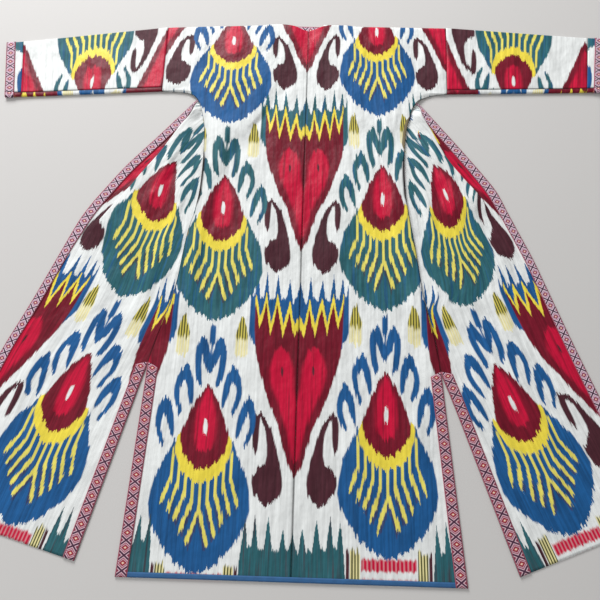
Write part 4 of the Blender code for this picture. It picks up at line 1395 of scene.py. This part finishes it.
@dataclass(frozen=True)
class WovenBraid:
    """Narrow tablet-woven braid: dark crosses and dotted red diamonds on rose, between maroon edges."""

    name: str = "woven_braid"
    maroon: str = "#571029"
    edge: str = "#b25a6e"
    rose: str = "#b97f9b"
    side: str = "#a9637f"
    white: str = "#efdde8"
    cross: str = "#46163a"
    red: str = "#8f2c5a"
    dot: str = "#f9ead6"
    orange: str = "#dd9478"
    unit: float = 0.027
    half: float = 0.80
    roughness: float = 0.8

    def make(self) -> bpy.types.Material:
        """Builds the material.

        Returns:
            A material that reads the cloth UV map: -1 to 1 across the braid, metres along it.
        """
        material = bpy.data.materials.new(self.name)
        material.use_nodes = True
        tree = material.node_tree
        shader = tree.nodes["Principled BSDF"]
        pattern = Pattern(tree)
        parts = add_node(tree, "SeparateXYZ", add_node(tree, "UVMap", uv_map="cloth")).node.outputs
        side = pattern.sum("ABSOLUTE", parts[0])
        along = pattern.sum("PINGPONG", parts[1], self.unit / 2)
        along = pattern.sum("DIVIDE", along, self.unit / 2)
        scaled = pattern.sum("DIVIDE", side, self.half)
        cross = pattern.sum("ABSOLUTE", pattern.sum("SUBTRACT", scaled, pattern.sum("MULTIPLY", along, 1.9)))
        edge = pattern.sum("ADD", scaled, pattern.sum("MULTIPLY", pattern.sum("SUBTRACT", 1.0, along), 2.0))
        beside = pattern.sum("SUBTRACT", scaled, pattern.sum("MULTIPLY", along, 1.9))
        colour = pattern.over(linear(self.rose), pattern.soft(beside, 0.12, 0.24), linear(self.side))
        for mask, paint in (
            (pattern.soft(cross, 0.62, 0.50), self.white), (pattern.soft(cross, 0.34, 0.24), self.cross),
            (pattern.soft(edge, 1.10, 1.02), self.white), (pattern.soft(edge, 0.92, 0.84), self.red),
            (pattern.soft(edge, 0.44, 0.36), self.orange), (pattern.soft(edge, 0.26, 0.18), self.dot),
            (pattern.soft(side, self.half, self.half + 0.03), self.maroon),
            (pattern.soft(side, self.half + 0.06, self.half + 0.09), self.edge),
        ):
            colour = pattern.over(colour, mask, linear(paint))
        picks = pattern.sum("SINE", pattern.sum("MULTIPLY", parts[1], math.tau / 0.0009))
        tone = add_node(tree, "MapRange", picks, -1.0, 1.0, 0.88, 1.06)
        colour = add_node(tree, "HueSaturation", 0.5, 1.0, tone, 1.0, colour)
        tree.links.new(colour, shader.inputs["Base Color"])
        bump = add_node(tree, "Bump").node
        bump.inputs["Strength"].default_value = 0.3
        bump.inputs["Distance"].default_value = 0.0003
        tree.links.new(picks, bump.inputs["Height"])
        tree.links.new(bump.outputs[0], shader.inputs["Normal"])
        shader.inputs["Roughness"].default_value = self.roughness
        shader.inputs["Sheen Weight"].default_value = 0.2
        return material


@dataclass(frozen=True)
class HemCloth:
    """Plain blue cotton, woven tabby, for the binding along the back hem."""

    name: str = "hem_cloth"
    blue: str = "#2a5f92"
    roughness: float = 0.7

    def make(self) -> bpy.types.Material:
        """Builds the material, which reads the cloth UV map."""
        material = bpy.data.materials.new(self.name)
        material.use_nodes = True
        tree = material.node_tree
        shader = tree.nodes["Principled BSDF"]
        uv = add_node(tree, "UVMap", uv_map="cloth")
        noise = add_node(tree, "TexNoise", uv, 60.0, 3.0, 0.6, noise_dimensions="3D")
        tone = add_node(tree, "MapRange", noise, 0.25, 0.75, 0.8, 1.15)
        colour = add_node(tree, "HueSaturation", 0.5, 1.0, tone, 1.0, linear(self.blue))
        tree.links.new(colour, shader.inputs["Base Color"])
        bump = add_node(tree, "Bump").node
        bump.inputs["Strength"].default_value = 0.3
        bump.inputs["Distance"].default_value = 0.0003
        tree.links.new(noise, bump.inputs["Height"])
        tree.links.new(bump.outputs[0], shader.inputs["Normal"])
        shader.inputs["Roughness"].default_value = self.roughness
        return material


@dataclass
class Workshop:
    """Makes finished pieces from surfaces and counts them."""

    silk: bpy.types.Material
    braid: bpy.types.Material
    slit_braid: bpy.types.Material
    hem: bpy.types.Material
    made: list[bpy.types.Object] = field(default_factory=list)

    def sheet(
        self, node: str, surface: Surface, material: bpy.types.Material, wall: float,
        flat: tuple[float, float], area: float | None, held: Held, rests_on: Sequence[str], slot: str,
        marks: dict[str, Any] | None = None,
    ) -> bpy.types.Object:
        """Makes one piece of cloth that stands for a CAD node.

        Args:
            node: The node it stands for.
            surface: The middle of its wall.
            material: Its finish.
            wall: Its thickness in metres.
            flat: Not used; the width and length it was cut to, in metres.
            area: Not used; its flat area, where the cut isn't a rectangle.
            held: Not used; how it is kept in place.
            rests_on: Not used; the nodes that it lies on or is sewn to.
            slot: Not used; a material slot name.
            marks: What the silk reads at each point: "drop", how much lower the medallions lie than the
            cones; "seam", metres from a seam, below 0 where a shadow is painted in the side seam;
            "shaded_lining", 1 where the lining shows, painted as it looks in shade.

        Returns:
            The finished piece.
        """
        rows, columns = surface.points.shape[:2]
        shape = bmesh.new()
        bmesh.ops.create_grid(shape, x_segments=columns - 1, y_segments=rows - 1, size=0.5, calc_uvs=False)
        shape.verts.ensure_lookup_table()
        for vertex in shape.verts:
            column = round((vertex.co.x + 0.5) * (columns - 1))
            row = round((vertex.co.y + 0.5) * (rows - 1))
            vertex.index = row * columns + column
        shape.verts.sort()
        cloth = shape.loops.layers.uv.new("cloth")
        places = surface.cloth.reshape(-1, 2)
        for vertex, point in zip(shape.verts, surface.points.reshape(-1, 3)):
            vertex.co = Vector(point)
        for face in shape.faces:
            face.smooth = True
            for loop in face.loops:
                loop[cloth].uv = Vector(places[loop.vert.index])
        upward = sum(1 if face.normal.z > 0 else -1 for face in self.fresh(shape).faces)
        if upward < 0:
            bmesh.ops.reverse_faces(shape, faces=shape.faces[:])
        mesh = bpy.data.meshes.new(f"{node}_cloth")
        shape.to_mesh(mesh)
        shape.free()
        plain = {"piece": len(self.made) + 1, "drop": 0.0, "seam": surface.seam_distance(), "shaded_lining": 0.0}
        for name, values in (plain | (marks or {})).items():
            spread = np.broadcast_to(np.asarray(values, float), (rows, columns)).ravel()
            mesh.attributes.new(name, "FLOAT", "POINT").data.foreach_set("value", spread.tolist())
        mesh.materials.append(material)
        piece = bpy.data.objects.new(f"{node}_cloth", mesh)
        bpy.context.scene.collection.objects.link(piece)
        solid_wall = piece.modifiers.new("Wall", "SOLIDIFY")
        solid_wall.thickness = wall
        solid_wall.offset = 0.0
        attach(piece, "root")
        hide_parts(node)
        self.made.append(piece)
        LOG.info("%s: %d x %d points", piece.name, rows, columns)
        return piece

    @staticmethod
    def fresh(shape: bmesh.types.BMesh) -> bmesh.types.BMesh:
        """The same mesh with its normals worked out."""
        shape.normal_update()
        return shape


@dataclass
class HalfRobe:
    """Everything on one side of the centre seam."""

    side: RobeSide
    shop: Workshop
    back: Surface = field(init=False)

    def build(self) -> None:
        """Makes the back half, the front, the sleeve and their braids."""
        silk, name = self.shop.silk, self.side.name
        front_plan, front_cloth = FrontPanel(self.side).sections()
        back_plan, back_cloth = BackPanel(self.side, front_plan).sections()
        front = Surface(self.side.placed(front_plan), front_cloth).refined(SPACING)
        self.back = Surface(self.side.placed(back_plan), back_cloth).refined(SPACING)
        self.shop.sheet(
            f"back_{name}", self.back, silk, SILK_WALL, (0.353, 1.33), 0.37, Held.LAID,
            [f"front_{name}_cloth"], "ikat_silk", self.marks(),
        )
        self.shop.sheet(
            f"front_{name}", front, silk, SILK_WALL, (0.374, 1.33), 0.38, Held.FOLDED, [], "ikat_silk"
        )
        self.edge_braids(front)
        self.sleeve()

    def marks(self) -> dict[str, Any]:
        """Painted shadow and shaded lining by the back's side seam, and how low its medallions lie.

        Returns:
            Values for the silk to read, a grid or a number each.
        """
        down = self.back.points[0, 0, 1] - self.back.points[..., 1]
        down = down / LOOM
        steps = np.linalg.norm(np.diff(self.back.points, axis=1), axis=-1)
        from_side = np.concatenate(
            [np.cumsum(steps[:, ::-1], axis=1)[:, ::-1], np.zeros((len(steps), 1))], axis=1
        )

        def stretch(ends: tuple[float, float]) -> np.ndarray:
            return smooth((down - ends[0]) / 0.10) * smooth((ends[1] - down) / 0.10)

        # Painted shadow: the seam distance drops below 0 where the side seam is painted dark as if it stood open
        painted_gap = 0.0042 * stretch(self.side.gap_shadow_stretch)
        seam = np.minimum(self.back.seam_distance(), from_side - painted_gap)
        # Painted shade: where the lining shows by the side seam, painted as it looks in shade
        shown = sum(stretch(ends) for ends in self.side.shaded_lining)
        shaded_lining = np.clip(1.5 * shown - from_side / 0.0075, 0.0, 1.0)
        return {"drop": self.side.medallion_drop, "seam": seam, "shaded_lining": shaded_lining}

    def braid(self, node: str, strip: Surface, length: float, below: str) -> None:
        """Makes one length of braid on the piece below it."""
        self.shop.sheet(
            node, strip, self.shop.slit_braid if "slit" in node else self.shop.braid, BRAID_SHELL,
            (BRAID * LOOM, length), None, Held.LAID, [below], "woven_braid",
        )

    def edge_braids(self, front: Surface) -> None:
        """Makes the braids down the open edge and on both sides of the slit.

        Args:
            front: The front's finished surface.
        """
        name = self.side.name
        lift = WALL / 2 + GAP + BRAID_WALL / 2
        span = np.linalg.norm(front.points[:, front.column_at[1]] - front.points[:, 0], axis=1)
        strip = front.strip(slice(None), span.tolist(), True, lift)
        self.braid(f"front_braid_{name}", strip, self.run(strip), f"front_{name}_cloth")
        body = len(self.side.body_rows()) - 1
        for panel, node, from_start in (
            (self.back, f"slit_braid_back_{name}", False), (front, f"slit_braid_front_{name}", False),
        ):
            rows = slice(panel.row_at[body], None)
            count = len(panel.points[rows])
            strip = panel.strip(rows, [BRAID * LOOM] * count, from_start, lift)
            below = "back" if "back" in node else "front"
            self.braid(node, self.mitred(strip), self.run(strip), f"{below}_{name}_cloth")

    @staticmethod
    def run(strip: Surface) -> float:
        """The length of a strip, in metres."""
        return float(strip.cloth[-1, 0, 1])

    @staticmethod
    def mitred(strip: Surface) -> Surface:
        """Cuts the top of a slit braid to a point beside the slit.

        Args:
            strip: The braid, its first column at the slit.

        Returns:
            The same braid with its inner corner cut back.
        """
        points = strip.points.copy()
        cloth = strip.cloth.copy()
        columns = points.shape[1]
        lengths = cloth[:, 0, 1]
        for column in range(columns):
            back = column / (columns - 1) * SLIT_MITRE * LOOM
            at = np.linspace(back, lengths[-1], len(lengths))
            points[:, column] = np.stack(
                [np.interp(at, lengths, axis) for axis in strip.points[:, column].T], axis=-1
            )
            cloth[:, column, 1] = at
        return Surface(points, cloth)

    def sleeve(self) -> None:
        """Makes the sleeve's main piece, its end strip and the braid round the cuff."""
        name, tube = self.side.name, SleeveTube(self.side)
        seam, whole = self.side.arm.seam, tube.length()
        plan, cloth = tube.sections(np.linspace(GAP / LOOM, seam, SLEEVE_ROWS).tolist())
        main = Surface(self.side.placed(plan), cloth).refined(SPACING)
        self.shop.sheet(
            f"sleeve_{name}", main, self.shop.silk, SILK_WALL, (0.372, 0.420), None, Held.LAID,
            [f"front_{name}_cloth"], "ikat_silk",
        )
        plan, cloth = tube.sections([seam + GAP / LOOM, whole - BRAID, whole])
        cloth[..., 0] += 0.56 - cloth[0, 0, 0]
        cloth[..., 1] = 2.06 + self.side.sleeve_drop - cloth[..., 1]
        end = Surface(self.side.placed(plan), cloth).refined(SPACING)
        self.shop.sheet(
            f"sleeve_end_{name}", end, self.shop.silk, SILK_WALL, (0.049, 0.345), None, Held.LAID, [],
            "ikat_silk",
        )
        turned = Surface(end.points.transpose(1, 0, 2), end.cloth.transpose(1, 0, 2))
        lift = WALL / 2 + GAP + BRAID_WALL / 2
        strip = turned.strip(slice(None), [BRAID * LOOM] * len(turned.points), False, 0.0)
        self.braid(f"cuff_braid_{name}", self.round_cuff(strip, lift), self.run(strip), f"sleeve_end_{name}_cloth")

    def round_cuff(self, strip: Surface, lift: float) -> Surface:
        """Lifts the cuff's braid off the sleeve on the outside all round.

        Args:
            strip: The braid in the sleeve's own wall.
            lift: How far out it goes.

        Returns:
            The lifted braid.
        """
        normal = Surface(strip.points, strip.cloth).normals()
        outer = strip.points + normal * lift
        if outer[..., 2].max() < strip.points[..., 2].max() + lift / 2:
            outer = strip.points - normal * lift
        return Surface(outer, strip.cloth)


@dataclass
class NeckAndHem:
    """The braid across the back of the neck and the binding along the back hem."""

    shop: Workshop
    left: HalfRobe
    right: HalfRobe

    def build(self) -> None:
        """Makes both."""
        xs = np.linspace(-NECK_BRAID_HALF, NECK_BRAID_HALF, 25)
        rows = [[(x, y, BRAID_WALL / 2) for y in np.linspace(0.004, 0.004 + BRAID, 9)] for x in xs]
        strip = laid_on(RIGHT.placed(rows), 0.0)
        self.shop.sheet(
            "neck_braid", strip, self.shop.braid, BRAID_SHELL, (BRAID * LOOM, 2 * NECK_BRAID_HALF * LOOM),
            None, Held.LAID, [], "woven_braid",
        )
        ends = []
        for half in (self.left, self.right):
            low, high = half.back.points[-1], half.back.points[-2]
            inner = half.back.column_at[-3]
            low, high = low[: inner + 1], high[: inner + 1]
            share = BINDING * LOOM / np.linalg.norm(low[0] - high[0])
            band = np.stack([low + (high - low) * share * step for step in (1, 0.66, 0.33, 0)], axis=1)
            band[-1, :, 0] -= half.side.sign * GAP
            ends.append(band)
        whole = np.concatenate([ends[0][::-1], ends[1]])
        strip = laid_on_binding(whole, WALL / 2 + GAP + BRAID_WALL / 2)
        length = float(strip.cloth[-1, 0, 1])
        self.shop.sheet(
            "hem_binding", strip, self.shop.hem, BRAID_SHELL, (0.010, length), BINDING * LOOM * length,
            Held.LAID, ["back_left_cloth", "back_right_cloth"], "hem_cloth",
        )


def laid_on_binding(points: np.ndarray, lift: float) -> Surface:
    """Lifts the binding straight up off the hem.

    Args:
        points: The binding on the back's middle, rows along it.
        lift: How far up it goes.

    Returns:
        The lifted binding, its cloth in metres.
    """
    raised = points + np.array((0.0, 0.0, lift))
    along = np.concatenate([[0], np.cumsum(np.linalg.norm(np.diff(raised[:, 0], axis=0), axis=-1))])
    across = np.broadcast_to(np.linspace(0, BINDING * LOOM, points.shape[1]), points.shape[:2])
    down = np.broadcast_to(along[:, None], points.shape[:2])
    return Surface(raised, np.stack([across, down], axis=-1))


@dataclass(frozen=True)
class Studio:
    """A plain pale floor, soft lights and the camera above the hem."""

    floor_size: float = 9.0
    floor_colour: str = "#d1cfcd"
    tilt: float = 70.6127  # degrees below the horizon
    turn: float = 1.727  # degrees
    offset: tuple[float, float, float] = (0.01328, -1.1962, 1.24394)  # metres from the seam at the shoulder

    def build(self) -> None:
        """Makes the floor, the lights and the camera."""
        self.floor()
        self.light("key", (-1.3, 3.2, 1.9), (0.0, 0.0, 0.0), 1.7, 150.0)
        self.light("fill", (-1.6, -1.2, 2.3), (0.0, 0.0, 0.0), 2.2, 18.0)
        world = bpy.data.worlds.new("studio")
        world.use_nodes = True
        background = world.node_tree.nodes["Background"]
        background.inputs["Color"].default_value = (1.0, 1.0, 1.0, 1.0)
        background.inputs["Strength"].default_value = 0.375
        bpy.context.scene.world = world
        bpy.context.scene.view_settings.view_transform = "Standard"
        self.camera()

    def floor(self) -> None:
        """Makes the pale floor that the robe lies on."""
        shape = bmesh.new()
        bmesh.ops.create_grid(shape, x_segments=1, y_segments=1, size=self.floor_size / 2)
        bmesh.ops.translate(shape, vec=Vector((0.0, 0.0, -0.0004)), verts=shape.verts)
        mesh = bpy.data.meshes.new("floor")
        shape.to_mesh(mesh)
        shape.free()
        paint = bpy.data.materials.new("floor_paint")
        paint.use_nodes = True
        shader = paint.node_tree.nodes["Principled BSDF"]
        shader.inputs["Base Color"].default_value = linear(self.floor_colour)
        shader.inputs["Roughness"].default_value = 0.85
        mesh.materials.append(paint)
        floor = bpy.data.objects.new("floor", mesh)
        bpy.context.scene.collection.objects.link(floor)

    def light(self, name: str, place: Sequence[float], at: Sequence[float], size: float, power: float) -> None:
        """Adds a soft square light.

        Args:
            name: The light's name.
            place: Where it is.
            at: What it points at.
            size: Its side in metres.
            power: Its power in watts.
        """
        lamp = bpy.data.lights.new(name, "AREA")
        lamp.shape = "SQUARE"
        lamp.size = size
        lamp.energy = power
        body = bpy.data.objects.new(name, lamp)
        body.location = Vector(place)
        body.rotation_euler = (Vector(at) - Vector(place)).to_track_quat("-Z", "Y").to_euler()
        bpy.context.scene.collection.objects.link(body)

    def camera(self) -> None:
        """Puts the camera where the photograph was taken from."""
        tilt, turn = math.radians(self.tilt), math.radians(self.turn)
        heading = Vector((-math.sin(turn), math.cos(turn), 0.0))
        right = Vector((math.cos(turn), math.sin(turn), 0.0))
        back = -(heading * math.cos(tilt) - Vector((0.0, 0.0, math.sin(tilt))))
        up = heading * math.sin(tilt) + Vector((0.0, 0.0, math.cos(tilt)))
        start = RIGHT.placed([[(0.0, 0.0, 0.0)]])[0, 0]
        view = Matrix((right, up, back)).transposed().to_4x4()
        view.translation = Vector(start) + Vector(self.offset)
        lens = bpy.data.cameras.new("camera")
        lens.sensor_width = 36.0
        lens.lens = 36.0
        camera = bpy.data.objects.new("camera", lens)
        camera.matrix_world = view
        bpy.context.scene.collection.objects.link(camera)
        bpy.context.scene.camera = camera


def main() -> None:
    """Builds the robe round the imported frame, then the studio."""
    logging.basicConfig(level=logging.INFO, format="%(message)s")
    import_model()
    redder = WovenBraid("woven_braid_red", rose="#a04e68", side="#8c2a48", white="#e4bfca", red="#98183a")
    shop = Workshop(IkatSilk().make(), WovenBraid().make(), redder.make(), HemCloth().make())
    halves = [HalfRobe(side, shop) for side in (LEFT, RIGHT)]
    for half in halves:
        half.build()
        LOG.info("%s half: %d pieces so far", half.side.name, len(shop.made))
    NeckAndHem(shop, *halves).build()
    Studio().build()
    bpy.context.view_layer.update()
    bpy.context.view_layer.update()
    LOG.info("%d pieces", len(shop.made))


if __name__ == "__main__":
    main()
